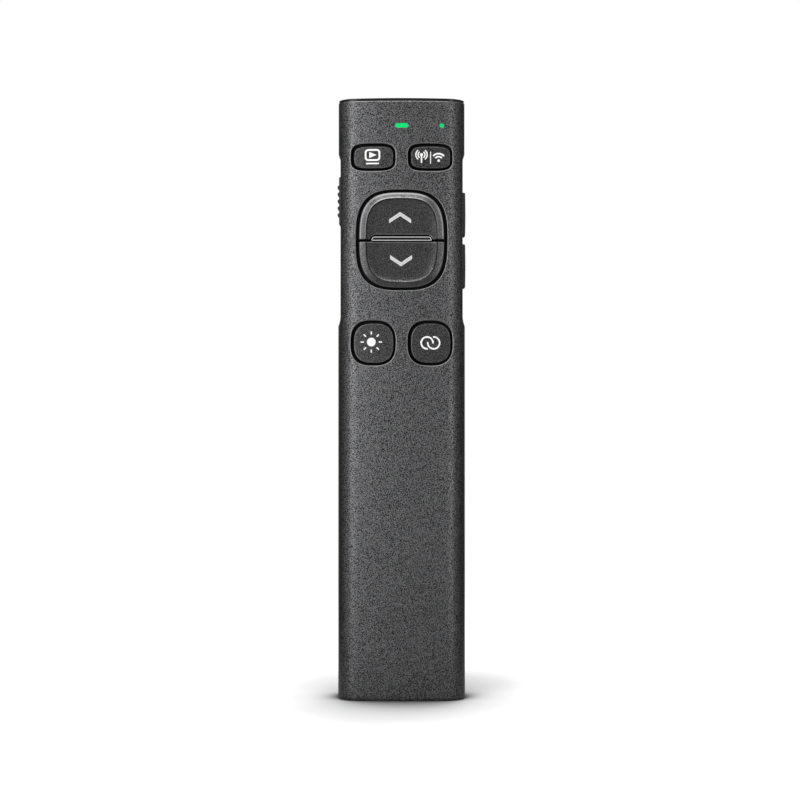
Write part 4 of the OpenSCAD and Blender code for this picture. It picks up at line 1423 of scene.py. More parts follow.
@dataclass
class Prints:
    """Thin printed signs that lie on the keys."""

    keys: dict[str, Lift]
    proud: float = 0.02
    deep: float = 0.08
    sun: Pair = (-7.54, 89.35)
    rays: int = 8

    def sign(self, sign: Sign) -> list[tuple[Outline, list[Outline]]]:
        """Draws a sign.

        Args:
            sign: which one.

        Returns:
            Its parts, each an outline and the outlines of the holes in it.
        """
        parts: list[Outline] = []
        if sign is Sign.SCREEN:
            x, z = -7.24, 135.88
            screen = (round_box(x, z, 3.86, 2.94, 0.85), [round_box(x, z, 3.0, 2.08, 0.48)])
            play = rounded([(-8.05, z - 0.72), (-6.2, z), (-8.05, z + 0.72)], 0.06, steps=2)
            return [screen, (play, []), (round_box(x, 133.77, 3.2, 0.36, 0.1, 2), [])]
        if sign is Sign.ANTENNA:
            x, z = 4.95, 135.2
            parts = [round_box(x, z - 0.35, 0.36, 1.9, 0.1, 2), disc(x, z + 0.72, 0.4, 24)]
            for start in (-48, 132):
                parts += [band(x, z + 0.72, r, 0.3, start, start + 96) for r in (0.85, 1.4)]
            parts.append(round_box(7.2, z, 0.22, 3.0, 0.08, 2))
            parts.append(disc(9.22, 134.5, 0.34, 24))
            parts += [band(9.22, 134.5, r, 0.4, 45, 135) for r in (1.0, 1.75)]
        elif sign in (Sign.UP, Sign.DOWN):
            up = 1 if sign is Sign.UP else -1
            x, top = (-0.37, 121.65) if up > 0 else (-0.13, 108.16)
            strokes = ((0.98, top, 2.73, 1.82), (0.26, top - up * 0.36, 2.4, 1.6))
            for thick, tip, half, fall in strokes:
                low = fall + thick
                run = [(0, 0), (-half, fall), (-half, low), (0, thick), (half, low), (half, fall)]
                run = [(x + u, tip - up * v) for u, v in run]
                parts.append(rounded(run[::up], 0.05, steps=2))
        elif sign is Sign.SUN:
            parts = [disc(*self.sun, 1.08, 40)]
        else:
            parts = [band(x, 89.14, 1.48, 0.4, a, a + 270) for x, a in ((6.34, 0), (7.98, 180))]
        return [(part, []) for part in parts]

    def build(self, sign: Sign, body: str, slot: str) -> bpy.types.Object:
        """Builds a sign on its key.

        Args:
            sign: which one.
            body: the key's body, whose face it lies on.
            slot: the key's material slot.

        Returns:
            The finished object.
        """
        shape, lift = Shape(), self.keys[body]
        for k, (outline, holes) in enumerate(self.sign(sign)):
            shape.mark = 1 + k if sign in (Sign.UP, Sign.DOWN) else 0
            proud = self.proud * (1 + shape.mark // 2)
            faces = []
            for deeper in (-proud, self.deep):
                surface = lambda x, z: lift(x, z) + Vector((0, deeper, 0))
                loops = [shape.add([surface(*p) for p in o.points]) for o in (outline, *holes)]
                shape.fill(loops, [], lambda q: (q.x, q.z), surface)
                faces.append(loops)
            for top, low in zip(*faces):
                shape.bridge(top, low)
        finishes = (PRINT, SOFT_PRINT, DIM_PRINT)
        piece = shape.build(f"print_{sign.value}", *(finish.material() for finish in finishes))
        return dress(piece, body, slot)

    def build_rays(self) -> bpy.types.Object:
        """Prints the rays round the sun's disc, as Geometry Nodes."""
        (x, z), lift, shape = self.sun, self.keys["spotlight"], Shape()
        ray = round_box(0.0, 2.27, 0.32, 0.84, 0.15, 4)
        levels = ((0.0, self.proud), (0.0, -self.deep))
        shape.sweep(ray.raised(front_point, levels), foot=True, head=True)
        piece = shape.build("print_sun_rays", PRINT.material())
        place = lift(x, z)
        tilt = math.atan2(lift(x + 1, z).y - place.y, 1.0)
        turn = 2 * math.pi / self.rays
        Repeat(self.rays, turn=turn, start=tuple(place), tilt=tilt).apply(piece, PRINT)
        return dress(piece, "spotlight", "key_grey")


# --- Repeats by Geometry Nodes --------------------------------------------------------


@dataclass
class Repeat:
    """Repeats one small mesh along a line or round a point, as a Geometry Nodes tree.

    Attributes:
        count: how many copies.
        step: from one copy to the next, in millimetres.
        turn: of each copy about the front-to-back axis, in radians.
        start: place of the first copy, in millimetres.
        tilt: of the whole about the long axis, in radians.
    """

    count: int
    step: Triple = (0.0, 0.0, 0.0)
    turn: float = 0.0
    start: Triple = (0.0, 0.0, 0.0)
    tilt: float = 0.0

    @staticmethod
    def tree() -> bpy.types.NodeTree:
        """Returns the shared tree, made once."""
        found = bpy.data.node_groups.get("repeat")
        if found:
            return found
        tree = bpy.data.node_groups.new("repeat", "GeometryNodeTree")
        kinds = {"Copy": "Geometry", "Count": "Int", "Step": "Vector", "Turn": "Float",
                 "Start": "Vector", "Tilt": "Float", "Finish": "Material"}
        for name, kind in kinds.items():
            tree.interface.new_socket(name, in_out="INPUT", socket_type=f"NodeSocket{kind}")
        tree.interface.new_socket("Copies", in_out="OUTPUT", socket_type="NodeSocketGeometry")
        add = Wiring(tree).add
        given = add("NodeGroupInput").node.outputs
        line = add("GeometryNodeMeshLine", {"Count": given["Count"], "Offset": given["Step"]})
        turn = {0: add("GeometryNodeInputIndex"), 1: given["Turn"]}
        turned = {"Y": add("ShaderNodeMath", turn, operation="MULTIPLY")}
        copies = {"Points": line, "Instance": given["Copy"],
                  "Rotation": add("ShaderNodeCombineXYZ", turned)}
        real = {"Geometry": add("GeometryNodeInstanceOnPoints", copies)}
        placed = {"Geometry": add("GeometryNodeRealizeInstances", real),
                  "Translation": given["Start"],
                  "Rotation": add("ShaderNodeCombineXYZ", {"Z": given["Tilt"]})}
        paint = {"Geometry": add("GeometryNodeTransform", placed), "Material": given["Finish"]}
        out = tree.nodes.new("NodeGroupOutput")
        tree.links.new(add("GeometryNodeSetMaterial", paint), out.inputs["Copies"])
        return tree

    def apply(self, copy: bpy.types.Object, finish: Finish) -> bpy.types.Object:
        """Turns one copy's object into all of them.

        Args:
            copy: the object with a single copy's mesh.
            finish: of the result.

        Returns:
            The same object with a plain mesh of every copy.
        """
        tree = self.tree()
        modifier = copy.modifiers.new("repeat", "NODES")
        modifier.node_group = tree
        values = {
            "Count": self.count,
            "Step": [v * MM for v in self.step],
            "Turn": self.turn,
            "Start": [v * MM for v in self.start],
            "Tilt": self.tilt,
            "Finish": finish.material(),
        }
        for socket in tree.interface.items_tree:
            if socket.name in values:
                modifier[socket.identifier] = values[socket.name]
        graph = bpy.context.evaluated_depsgraph_get()
        made = bpy.data.meshes.new_from_object(copy.evaluated_get(graph))
        copy.modifiers.clear()
        copy.data = made
        return copy


# --- Sides ----------------------------------------------------------------------------


@dataclass
class SideKeys:
    """The two volume keys in the right side."""

    proud: float = 0.8
    edge: float = 0.3
    dome: float = 0.1
    flange_x: float = 13.1
    flange: float = 0.6

    def build(self, name: str, span: Pair) -> bpy.types.Object:
        """Builds one key.

        Args:
            name: of its body.
            span: its lower and upper end.

        Returns:
            The finished object.
        """
        shape, (low, high) = Shape(), span
        middle, face_x = (low + high) / 2, FORM.waist_w / 2 + self.proud
        outline = round_box(0.0, middle, SIDE_KEY_W, high - low, 0.8, 6)

        def lift(y: float, z: float, deeper: float = 0.0) -> Vector:
            """Returns a point of the face, which is domed a little, or one under it."""
            fall = self.dome * ((z - middle) / (high - low) * 2) ** 2
            return Vector((face_x - fall - deeper, y, z))

        levels = eased(self.edge, 5)
        ring = shape.add([lift(*p) for p in outline.grown(levels[0][0] - 0.03)])
        inner = [(y, z) for y in spaced(-1.4, 1.4, 0.4) for z in spaced(low + 0.9, high - 0.9, 0.5)]
        shape.fill([ring], inner, lambda q: (q.y, q.z), lift)
        ring = shape.sweep(outline.raised(lift, levels), ring)
        high_x = self.flange_x + 0.8
        skirt = ((0.0, high_x), (self.flange, high_x), (self.flange, self.flange_x))
        shape.sweep(outline.raised(lambda y, z, x: Vector((x, y, z)), skirt), ring, head=True)
        ends = [Vector((x, 0.3, middle)) for x in (12.55, self.flange_x + 0.2)]
        shape.tube(*ends, 0.9, 0.1)
        piece = shape.build(f"side_{name}", SIDE_SKIN.material())
        return dress(piece, name, "side_black", f"{name}_key")


@dataclass
class PowerSlide:
    """The ridged knob in the left side, with its flange and prongs."""

    proud: float = 0.45
    ridge: float = 0.4
    pitch: float = 1.74
    count: int = 5
    flange_xs: Pair = (13.9, 13.1)

    def build(self) -> None:
        """Builds the knob and, as Geometry Nodes, its ridges."""
        shape, (low, high) = Shape(), SLIDE_SPAN
        middle, face_x = (low + high) / 2, FORM.waist_w / 2 + self.proud
        outline = round_box(0.0, middle, SLIDE_W, high - low, 0.5, 5)
        levels = eased(0.3, 4)
        levels.insert(0, (levels[0][0] - 0.03, 0.0))
        rings = outline.raised(lambda y, z, deeper: Vector((deeper - face_x, y, z)), levels)
        lap, side = SLIDE_TRAVEL + 2 * SIDE_GAP + 0.5, 1 + 0.7 / (SLIDE_W / 2)
        wide = [(y * side, z + (lap if z > middle else -lap)) for y, z in outline.points]
        high_x, low_x = self.flange_xs
        for points, x in ((outline.points, high_x), (wide, high_x), (wide, low_x)):
            rings.append([Vector((-x, y, z)) for y, z in points])
        shape.sweep(rings, foot=True, head=True)
        for z in (middle - 1.3, middle + 1.3):
            shape.tube(Vector((-13.35, 0.4, z)), Vector((-12.15, 0.4, z)), 0.5, 0.08, 16)
        piece = shape.build("slide_knob", SIDE_SKIN.material())
        dress(piece, "power", "side_black", "power_slide")
        ridge = self.one_ridge(face_x)
        start = middle - self.pitch * (self.count - 1) / 2
        Repeat(self.count, (0, 0, self.pitch), 0.0, (0, 0, start)).apply(ridge, SIDE_SKIN)
        dress(ridge, "power", "side_black")

    def one_ridge(self, face_x: float) -> bpy.types.Object:
        """Builds a half-round ridge across the knob, with domed ends."""
        shape, turns = Shape(), [math.pi * k / 10 for k in range(11)]
        half = SLIDE_W / 2 - 0.3
        ends = [(half, 0.25), (half - 0.06, 0.55), (half - 0.2, 0.85), (half - 0.35, 1.0)]
        rings = []
        for y, share in [(-y, share) for y, share in ends] + ends[::-1]:
            r = self.ridge * share
            ring = [Vector((-face_x - r * math.sin(t), y, self.ridge * math.cos(t))) for t in turns]
            root = [Vector((-face_x + 0.15, y, v)) for v in (-self.ridge, self.ridge)]
            rings.append([*ring, *root])
        shape.sweep(rings, foot=True, head=True)
        return shape.build("slide_ridges", SIDE_SKIN.material())


# --- Ends and lights ------------------------------------------------------------------


@dataclass
class EndWindow:
    """The gloss black window on the top end, arched a little, with its aperture."""

    inset: float = 0.15
    arch_r: float = 2400.0
    edge: float = 0.08
    ease: float = 0.7
    aperture_r: float = 1.6
    emitter_y: float = 2.15
    skirt: float = 2.1

    def lift(self, x: float, y: float, deeper: float = 0.0) -> Vector:
        """Returns the arched top's point over a place, or one under it."""
        sag = self.arch_r - math.sqrt(self.arch_r**2 - x**2)
        return Vector((x, y, FORM.length - sag - deeper))

    def outline(self) -> Outline:
        """Draws the window's edge, cut off at the side faces."""
        section, ease = FORM.outer.taken_in(self.inset), self.ease
        wide = FORM.top_w / 2 - self.inset
        reach = section.edge_r - ease
        turn = math.asin((wide - ease - section.edge_x) / reach)
        low = section.edge_y + reach * math.cos(turn)
        quarter = [(wide, y) for y in (0.6, 1.2, 1.8, low)]
        quarter += arc(wide - ease, low, ease, math.pi / 2, turn, 5)
        across = [x for x, _ in arc(section.edge_x, 0, section.edge_r, turn, 0, 8)]
        quarter += [(x, section.depth(x)) for x in (*across, 9.5, 8, 6.5, 5, 3.5, 2, 0.7)]
        half = quarter + [(-x, y) for x, y in reversed(quarter)]
        return Outline(half + [(-x, -y) for x, y in half])

    def build(self) -> bpy.types.Object:
        """Builds the window with its skirt."""
        shape, outline, base = Shape(), self.outline(), FORM.shell_l
        levels = eased(self.edge, 4)
        ring = shape.add([self.lift(*p) for p in outline.grown(levels[0][0] - 0.04)])
        hole = disc(0.0, self.emitter_y, self.aperture_r, 48)
        wide_hole = disc(0.0, self.emitter_y, self.aperture_r + 0.12, 48)
        mouth = shape.add([self.lift(*p) for p in wide_hole.points])
        inner = [
            (x, y)
            for x in spaced(-14.5, 14.5, 1.0)
            for y in spaced(-6.5, 6.5, 1.0)
            if math.dist((x, y), (0, self.emitter_y)) > 2.3 and abs(x) / 15 + abs(y) / 14 < 1.15
        ]
        flat = lambda q: (q.x, q.y)
        shape.fill([ring, mouth], inner, flat, self.lift)
        ring = shape.sweep(outline.raised(self.lift, levels), ring)
        rings = [[Vector((x, y, base)) for x, y in outline.points]]
        skirt, wall = (FORM.inner.taken_in(inset) for inset in (0.1, 1.1))
        low = base - self.skirt
        for section, z in ((skirt, base), (skirt, low), (wall, low), (wall, base)):
            rings.append([self.on_section(section, *p, z) for p in outline.points])
        ring = shape.sweep(rings, ring)
        throat = [[self.lift(x, y, 0.12) for x, y in hole.points]]
        throat.append([Vector((x, y, base)) for x, y in hole.points])
        under = shape.sweep(throat, mouth)
        shape.fill([ring, under], [], flat, lambda x, y: Vector((x, y, base)))
        piece = shape.build("end_cap", GLOSS.material())
        return dress(piece, "housing", "window_black", "end_window")

    @staticmethod
    def on_section(section: Section, x: float, y: float, z: float) -> Vector:
        """Moves a place on the window's edge onto a smaller section."""
        across = x / (FORM.top_w / 2) * section.half_w
        across = max(-section.half_w, min(section.half_w, across))
        far = math.copysign(section.depth(across), y)
        return Vector((across, far if abs(x) < 15 else far * min(1.0, abs(y) / 2.4), z))


class Lights:
    """The green bar and the green dot over the upper keys."""

    def pipe(
        self, name: str, node: str, outline: Outline, finish: Finish, flange: float
    ) -> bpy.types.Object:
        """Builds one light pipe.

        Args:
            name: of the piece.
            node: that it stands for.
            outline: of its face.
            finish: of the whole pipe.
            flange: distance of its flange's face from the parting plane.

        Returns:
            The finished object.
        """
        levels = eased(0.08, 3)
        levels.insert(0, (levels[0][0] - 0.02, 0.0))
        rings = outline.raised(key_surface(0.02), levels)
        low = flange - 0.7
        steps = ((0.0, flange), (0.5, flange), (0.5, low), (0.0, low), (0.0, 2.5))
        shape = Shape()
        shape.sweep([*rings, *outline.raised(front_point, steps)], foot=True, head=True)
        return dress(shape.build(name, finish.material()), "housing", "light_green", node)

    def build(self) -> None:
        """Builds both."""
        bar = bar_slot(3.25, 1.1, 0.0, LIGHT_Z)
        self.pipe("light_bar", "status_light_pipe", bar, LIGHT_BAR, 5.95)
        dot = disc(DOT_X, LIGHT_Z, 0.54, 32)
        self.pipe("light_dot", "link_light_pipe", dot, LIGHT_DOT, 5.2)


# --- Back and tail --------------------------------------------------------------------


def end_point(x: float, y: float, z: float) -> Vector:
    """Returns the point over a place in a plane across the clicker."""
    return Vector((x, y, z))


@dataclass
class Receiver:
    """The small receiver in the bay: moulded cap and folded steel plug."""

    cap: Triple = (14.4, 6.1, 6.6)
    plug: Triple = (12.0, 4.5, 12.0)
    low: float = 12.4
    middle_y: float = 4.15
    wall: float = 0.3

    def build_cap(self) -> bpy.types.Object:
        """Builds the moulded cap with rounded edges and grip lines."""
        w, t, length = self.cap
        outline = round_box(0.0, self.middle_y, w, t, 1.0, 6)
        steps = [(-0.48, self.low), *((grow, self.low + d) for grow, d in eased(0.45, 4))]
        for z in (self.low + 1.5, self.low + 2.3, self.low + 3.1):
            steps += [(0.0, z), (-0.12, z + 0.12), (-0.12, z + 0.3), (0.0, z + 0.42)]
        steps += [(grow, self.low + length - d) for grow, d in reversed(eased(0.25, 3))]
        shape = Shape()
        shape.sweep(outline.raised(end_point, steps), foot=True, head=True)
        piece = shape.build("dongle_cap", CAP_SKIN.material())
        return dress(piece, "receiver", "receiver_black", "receiver_cap")

    def build_plug(self) -> bpy.types.Object:
        """Builds the steel plug with its two windows on each face."""
        low = self.low + self.cap[2]
        windows = [round_box(x, low + 7.4, 2.3, 2.1, 0.1, 2) for x in (-2.8, 2.8)]
        shape = Shape()
        outer, inner = (self.skin(shape, windows, grow) for grow in (0.0, -self.wall))
        for a, b in zip(outer[0], inner[0]):
            shape.bridge(a, b)
        for right, left, right_in, left_in in zip(*outer[1:], *inner[1:]):
            shape.bridge(right, right_in, closed=False)
            shape.bridge(left, left_in, closed=False)
            for k in (0, -1):
                shape.face((right[k], right_in[k], left_in[k], left[k]))
        piece = shape.build("dongle_plug", STEEL.material())
        return dress(piece, "receiver", "receiver_steel", "receiver_plug")

    def skin(self, shape: Shape, windows: list[Outline], grow: float) -> tuple:
        """Builds the plug's outer or inner skin.

        Args:
            shape: to add it to.
            windows: the outlines of the windows in each face.
            grow: how much larger it is than the outer skin.

        Returns:
            The windows' rings, and the low and high run of corners round its right and
            its left side.
        """
        w, t, length = self.plug
        low, high = self.low + self.cap[2], self.low + self.cap[2] + length
        half_w, half_t, r = w / 2 + grow, t / 2 + grow, 0.5
        corners = [(r - half_w, low), (half_w - r, low), (half_w - r, high), (r - half_w, high)]
        borders, mouths = [], []
        for s in (-1, 1):
            lift = lambda x, z: Vector((x, self.middle_y + s * half_t, z))
            borders.append(shape.add([lift(*p) for p in corners]))
            holes = [shape.add([lift(*p) for p in o.points]) for o in windows]
            shape.fill([borders[-1], *holes], [], lambda q: (q.x, q.z), lift)
            mouths += holes
        sides = []
        for sx, ends in ((1, (1, 2)), (-1, (0, 3))):
            turns = [math.pi * k / 8 - math.pi / 2 for k in range(1, 8)]
            places = []
            for a in turns:
                middle = self.middle_y + math.copysign(half_t - r, a if abs(a) > 1e-9 else 1)
                places.append((sx * (half_w - r + r * math.cos(a)), middle + r * math.sin(a)))
            runs = []
            for z, i in zip((low, high), ends):
                bend = shape.add([Vector((x, y, z)) for x, y in places])
                runs.append([borders[0][i], *bend, borders[1][i]])
            shape.bridge(*runs, closed=False)
            sides.append(runs)
        return mouths, *sides


@dataclass
class CaseScrews:
    """The four case screws, deep in their counterbores."""

    head_r: float = 1.8
    head_h: float = 1.3
    shank_r: float = 1.0
    length: float = 7.0
    recess: float = 0.7

    def build(self) -> None:
        """Builds one screw and repeats it as two pairs."""
        for name, z in zip(("screws_low", "screws_high"), SCREW_ZS):
            screw = self.one(name)
            Repeat(2, (2 * SCREW_X, 0, 0), 0.0, (-SCREW_X, SEAT_Y, z)).apply(screw, SCREW_BLACK)
            nodes = ("case_screws",) if name == "screws_low" else ()
            dress(screw, "housing", "screw_black", *nodes)

    def one(self, name: str) -> bpy.types.Object:
        """Builds a pan-headed screw with a cross recess, its seat at the origin."""
        shape, count, r, h = Shape(), 48, self.head_r, self.head_h
        turns = [2 * math.pi * (k + 0.5) / count for k in range(count)]
        profile = [(self.shank_r * 0.6, -self.length), (self.shank_r, -self.length + 0.5)]
        profile += [(self.shank_r, 0.0), (r - 0.05, 0.0), (r, 0.06), (r, h - 0.45)]
        profile += [(r - 0.12, h - 0.2), (r - 0.4, h - 0.05), (r - 0.6, h)]
        rings = [[Vector((q * math.cos(a), y, q * math.sin(a))) for a in turns] for q, y in profile]
        ring = shape.sweep(rings, foot=True)
        cross = self.cross(1.1, 0.26)
        mouth = shape.add([Vector((x, h, z)) for x, z in cross])
        shape.fill([ring, mouth], [], lambda q: (q.x, q.z), lambda x, z: Vector((x, h, z)))
        floor = [Vector((x * 0.75, h - self.recess, z * 0.75)) for x, z in cross]
        shape.sweep([floor], mouth, head=True)
        return shape.build(name, SCREW_BLACK.material())

    @staticmethod
    def cross(reach: float, half: float) -> list[Pair]:
        """Draws a cross with arms of a half width."""
        quarter = [(reach, -half), (reach, half), (half, half)]
        ways = ((1, 0), (0, 1), (-1, 0), (0, -1))
        return [(x * c - z * s, x * s + z * c) for c, s in ways for x, z in quarter]


@dataclass
class ChargingPort:
    """The charging port in the tail: drawn steel shell, tongue and its contacts."""

    low: float = 0.6
    length: float = 7.3
    wall: float = 0.3
    pins: int = 12

    def build(self) -> None:
        """Builds the shell, the tongue and its contacts."""
        low, top, wall, shape = self.low, self.low + self.length, self.wall, Shape()
        steps = [(0.1 - wall, low), (-0.1, low), (-0.03, low + 0.03), (0.0, low + 0.1)]
        steps += [(0.0, top), (-wall, top), (-wall, low + 0.1)]
        rings = bar_slot(*PORT_SIZE, 0.0, PORT_Y).raised(end_point, steps)
        first = shape.add(rings[0])
        shape.bridge(shape.sweep(rings[1:], first), first)
        piece = shape.build("port_shell", STEEL.material())
        dress(piece, "housing", "port_steel", "charge_port_shell")
        self.build_tongue(top)

    def build_tongue(self, top: float) -> None:
        """Builds the moulded tongue, and its contacts as Geometry Nodes."""
        w, h = (size - 2 * self.wall for size in PORT_SIZE)
        shape, low = Shape(), self.low + 1.0
        block = bar_slot(w, h, 0.0, PORT_Y).raised(end_point, ((0.0, top - 2.0), (0.0, top)))
        blade = round_box(0.0, PORT_Y, 6.7, 0.7, 0.2, 4)
        levels = ((-0.15, low), (0.0, low + 0.15), (0.0, top - 1.0))
        for rings in (block, blade.raised(end_point, levels)):
            shape.sweep(rings, foot=True, head=True)
        piece = shape.build("port_tongue", PORT_BLACK.material())
        dress(piece, "housing", "port_black", "charge_port_tongue")
        pad = round_box(0.0, 0.0, 0.28, 4.0, 0.06, 2)
        for name, s in (("port_pins_front", 1), ("port_pins_rear", -1)):
            pin = Shape()
            levels = ((0.0, s * 0.33), (0.0, s * 0.37))
            pin.sweep(pad.raised(front_point, levels), foot=True, head=True)
            piece = pin.build(name, GOLD.material())
            Repeat(self.pins, (0.5, 0, 0), 0.0, (-2.75, PORT_Y, self.low + 3.3)).apply(piece, GOLD)
            dress(piece, "housing", "port_steel")


# --- What stays from the frame --------------------------------------------------------


class InnerWorks:
    """Materials of the pieces inside, which keep their own meshes."""

    FINISHES: dict[str, Finish] = {
        "circuit_board": Finish("board_green", (0.008, 0.09, 0.035), 0.35, 0.0, 0.6, 0.15, 0.003,
                                coat=0.3),
        "key_switches": Finish("switch_body", (0.5, 0.5, 0.47), 0.4, 0.0, 0.3, 0.06, 0.002),
        "front_stems": Finish("stem_black", (0.02, 0.02, 0.02), 0.45, 0.0, 0.3, 0.12, 0.002),
        "indicator_leds": Finish("led_white", (0.7, 0.7, 0.62), 0.3, 0.0, 0.3, 0.05),
        "chips": Finish("chip_black", (0.012, 0.012, 0.013), 0.5, 0.0, 0.25, 0.15, 0.003),
        "emitter_barrel": Finish("barrel_brass", (0.62, 0.42, 0.16), 0.3, 1.0, 0.5, 0.08, 0.002),
        "emitter_diode": Finish("diode_steel", (0.5, 0.5, 0.5), 0.32, 1.0, 0.5, 0.06, 0.002),
        "emitter_lens": GLASS,
        "battery_cell": Finish("cell_foil", (0.5, 0.51, 0.53), 0.35, 0.9, 0.9, 0.08, 0.01),
        "cell_tape": Finish("tape_white", (0.7, 0.7, 0.68), 0.6, 0.0, 0.6, 0.06, 0.01),
        "battery_leads": Finish("lead_red", (0.42, 0.02, 0.015), 0.4, 0.0, 0.5, 0.08, 0.003),
        "battery_plug": Finish("plug_cream", (0.62, 0.6, 0.5), 0.45, 0.0, 0.4, 0.06, 0.003),
        "bay_magnet": Finish("magnet_nickel", (0.55, 0.54, 0.52), 0.25, 1.0, 0.6, 0.05, 0.001),
        "receiver_tongue": PORT_BLACK,
    }
    GROUPS: dict[str, str] = {
        "side_switches": "key_switches",
        "slide_switch": "key_switches",
        "slide_lever": "front_stems",
        **dict.fromkeys(("controller_chip", "motion_chip", "charger_chip"), "chips"),
    }

    def dress(self) -> None:
        """Gives every remaining node its material."""
        for name, node in frame["nodes"].items():
            if node.hide_render:
                continue
            key = "front_stems" if name.endswith("_stem") else self.GROUPS.get(name, name)
            finish = self.FINISHES[key]
            node.data.materials.clear()
            node.data.materials.append(finish.material())
            LOG.info("%s keeps its mesh in %s", name, finish.name)


# --- Studio ---------------------------------------------------------------------------


@dataclass
class Studio:
    """Camera, lamps, world and floor.

    Attributes:
        camera_z: height of the level camera.
        distance: from the camera to the housing's front.
        frame_w: width that the camera sees at that distance.
        middle_x: place across of the camera.
        bright_side: direction from which reflections are brightest.
        sheen: levels of the reflected world, from its dark to its bright side.
        lamps: name, place, aim, size and power in watts of each.
        flag_x: distance of the dark panels that only reflections see.
        floor_half: half the floor's width.
        floor_fade: distances in metres over which the floor fades out.
        shade: levels of the floor that the camera sees, by how open it is above, which paint a
            contact shadow round the object.
    """

    camera_z: float = 74.93
    distance: float = 420.0
    frame_w: float = 198.75
    middle_x: float = -0.4
    bright_side: Triple = (-0.35, 0.0, 0.94)
    sheen: tuple[Pair, ...] = (
        (0.0, 0.08), (0.3, 0.34), (0.42, 0.56), (0.58, 0.58), (0.7, 0.72), (1.0, 0.9)
    )
    lamps: tuple[tuple, ...] = (
        ("top_light", (-60, -220, 450), (0, 0, 90), (400, 140), 0.8),
        ("front_light", (0, -520, 75), (0, 0, 75), (300, 200), 0.14),
        ("left_strip", (-245, -395, 170), (0, 0, 85), (240, 400), 1.2),
        ("right_strip", (310, -420, 140), (0, 0, 75), (160, 420), 0.6),
        ("rear_light", (120, 420, 380), (0, 0, 75), (420, 260), 1.0),
    )
    flag_x: float = 75.0
    floor_half: float = 600.0
    floor_fade: Pair = (0.10, 0.26)
    shade: tuple[Pair, ...] = (
        (0.5, 0.1), (0.57, 0.22), (0.63, 0.35), (0.7, 0.51), (0.77, 0.68), (0.83, 0.79),
        (0.9, 0.88), (0.94, 0.97), (0.98, 1.18),
    )

    def build(self) -> None:
        """Sets up everything that isn't the object."""
        self.camera()
        self.world()
        for name, place, aim, size, power in self.lamps:
            self.lamp(name, Vector(place), Vector(aim), size, power)
        for name, x in (("left_flag", -self.flag_x), ("right_flag", self.flag_x)):
            corners = [(x, -5, 0), (x, 110, 0), (x, 110, 330), (x, -5, 330)]
            flag = self.panel(name, corners, FLAG_BLACK.material())
            flag.visible_camera = flag.visible_shadow = flag.visible_diffuse = False
        s = self.floor_half
        corners = [(-s, -s, 0), (s, -s, 0), (s, s, 0), (-s, s, 0)]
        floor = self.panel("floor", corners, self.floor_with_painted_shadow())
        bpy.context.scene.view_settings.view_transform = "Standard"

    def camera(self) -> None:
        """Places a level camera in front."""
        data = bpy.data.cameras.new("camera")
        data.sensor_width = 36.0
        data.lens = data.sensor_width * self.distance / self.frame_w
        data.clip_start, data.clip_end = 0.01, 20
        camera = bpy.data.objects.new("camera", data)
        y = -FORM.depth / 2 - self.distance
        camera.location = Vector((self.middle_x, y, self.camera_z)) * MM
        camera.rotation_euler = (math.pi / 2, 0, 0)
        bpy.context.scene.collection.objects.link(camera)
        bpy.context.scene.camera = camera

    def world(self) -> None:
        """Makes the world white to the camera and in glass, and softer as light."""
        world = bpy.data.worlds.new("studio")
        bpy.context.scene.world = world
        world.use_nodes = True
        wiring = Wiring(world.node_tree)
        path = wiring.add("ShaderNodeLightPath").node.outputs
        seen = {0: path["Is Camera Ray"], 1: path["Is Transmission Ray"]}
        clear = wiring.add("ShaderNodeMath", seen, operation="MAXIMUM")
        way = {0: wiring.add("ShaderNodeTexCoord", out="Generated"), 1: self.bright_side}
        dot = wiring.add("ShaderNodeVectorMath", way, "Value", operation="DOT_PRODUCT")
        half = wiring.add("ShaderNodeMath", {0: dot, 1: 0.5, 2: 0.5}, operation="MULTIPLY_ADD")
        sheen = wiring.ramp(half, *self.sheen)
        soft = wiring.mix(path["Is Glossy Ray"], (0.6, 0.6, 0.6, 1), sheen)
        plain = wiring.mix(clear, soft, (1, 1, 1, 1))
        wiring.feed(world.node_tree.nodes["Background"], {"Color": plain})

    def lamp(self, name: str, place: Vector, aim: Vector, size: Pair, power: float) -> None:
        """Adds a soft rectangular lamp.

        Args:
            name: of the lamp.
            place: where it stands, in millimetres.
            aim: what it points at.
            size: its width and height.
            power: in watts.
        """
        data = bpy.data.lights.new(name, "AREA")
        data.shape = "RECTANGLE"
        data.size, data.size_y = size[0] * MM, size[1] * MM
        data.energy = power
        lamp = bpy.data.objects.new(name, data)
        lamp.location = place * MM
        lamp.rotation_euler = (aim - place).to_track_quat("-Z", "Y").to_euler()
        bpy.context.scene.collection.objects.link(lamp)

    def panel(
        self, name: str, corners: Sequence[Triple], material: bpy.types.Material
    ) -> bpy.types.Object:
        """Adds a flat panel.

        Args:
            name: of the panel.
            corners: its four corners, in millimetres.
            material: of the whole panel.

        Returns:
            The panel.
        """
        mesh = bpy.data.meshes.new(name)
        mesh.from_pydata([Vector(corner) * MM for corner in corners], [], [(0, 1, 2, 3)])
        mesh.materials.append(material)
        panel = bpy.data.objects.new(name, mesh)
        bpy.context.scene.collection.objects.link(panel)
        return panel

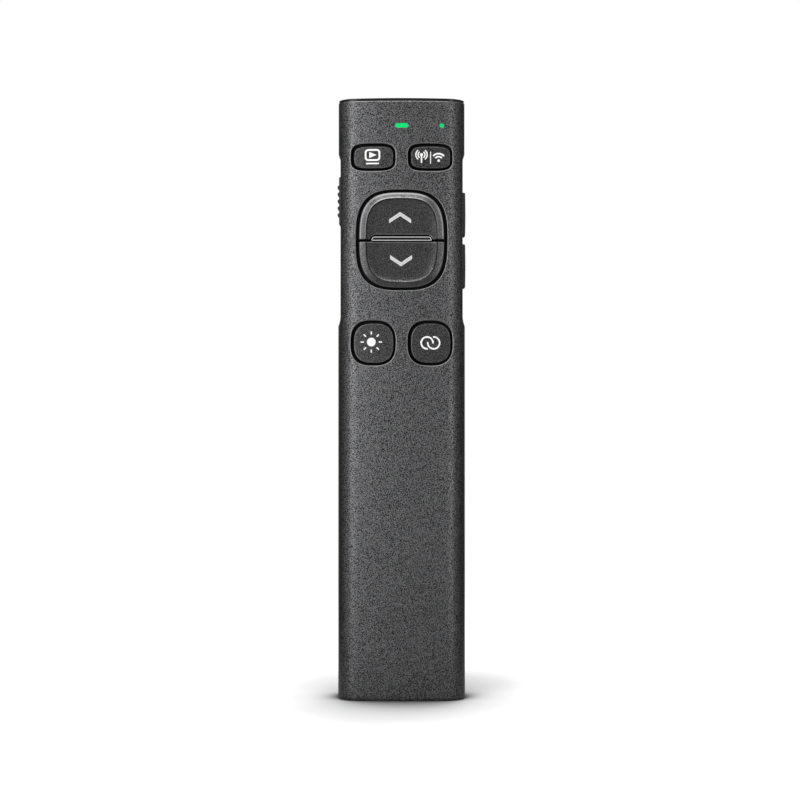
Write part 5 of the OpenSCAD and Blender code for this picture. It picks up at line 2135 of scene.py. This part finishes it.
    def floor_with_painted_shadow(self) -> bpy.types.Material:
        """Makes the white that fades out round the object, keeps its shadow from the lamps and is
        darkened near the object by ambient occlusion, a painted contact shadow.
        """
        made = bpy.data.materials.new("floor_with_painted_shadow")
        made.use_nodes = True
        wiring, nodes = Wiring(made.node_tree), made.node_tree.nodes
        nodes.remove(nodes["Principled BSDF"])
        place = {0: wiring.add("ShaderNodeTexCoord", out="Object")}
        length = wiring.add("ShaderNodeVectorMath", place, "Value", operation="LENGTH")
        start, end = self.floor_fade
        span = {"Value": length, "From Min": start, "From Max": end}
        fade = wiring.add("ShaderNodeMapRange", span, interpolation_type="SMOOTHSTEP")
        # Ambient occlusion darkens the floor's colour near the object: a painted contact shadow.
        near = wiring.add("ShaderNodeAmbientOcclusion", {"Distance": 0.045}, "AO", samples=32)
        seen = wiring.add("ShaderNodeLightPath", out="Is Camera Ray")
        paint = wiring.mix(seen, (0.34, 0.34, 0.34, 1), wiring.ramp(near, *self.shade))
        white = wiring.add("ShaderNodeBsdfDiffuse", {"Color": paint})
        ends = {"Fac": fade, 1: white, 2: wiring.add("ShaderNodeBsdfTransparent")}
        surface = wiring.add("ShaderNodeMixShader", ends)
        wiring.feed(nodes["Material Output"], {"Surface": surface})
        return made


# --- The whole ------------------------------------------------------------------------


def main() -> None:
    """Builds every sub-assembly, dresses what stays and sets up the studio."""
    logging.basicConfig(level=logging.INFO, format="%(name)s: %(message)s")
    housing = Housing()
    housing.front()
    housing.rear()
    EndWindow().build()
    surfaces: dict[str, Lift] = {}
    for place in SMALL_KEYS:
        key = SmallKey(place)
        key.build()
        surfaces[place.name] = key.surface
    pad = PagePad()
    for upper in (True, False):
        pad.build(upper)
        surfaces["page_back" if upper else "page_next"] = pad.surface
    DividerBar(pad).build()
    prints = Prints(surfaces)
    bodies = ("play", "mode", "page_back", "page_next", "spotlight", "link")
    for sign, body in zip(Sign, bodies):
        prints.build(sign, body, "pad_grey" if body.startswith("page") else "key_grey")
    prints.build_rays()
    for name, span in zip(("volume_down", "volume_up"), SIDE_SPANS):
        SideKeys().build(name, span)
    PowerSlide().build()
    Lights().build()
    receiver = Receiver()
    receiver.build_cap()
    receiver.build_plug()
    CaseScrews().build()
    ChargingPort().build()
    InnerWorks().dress()
    Studio().build()


if __name__ == "__main__":
    main()
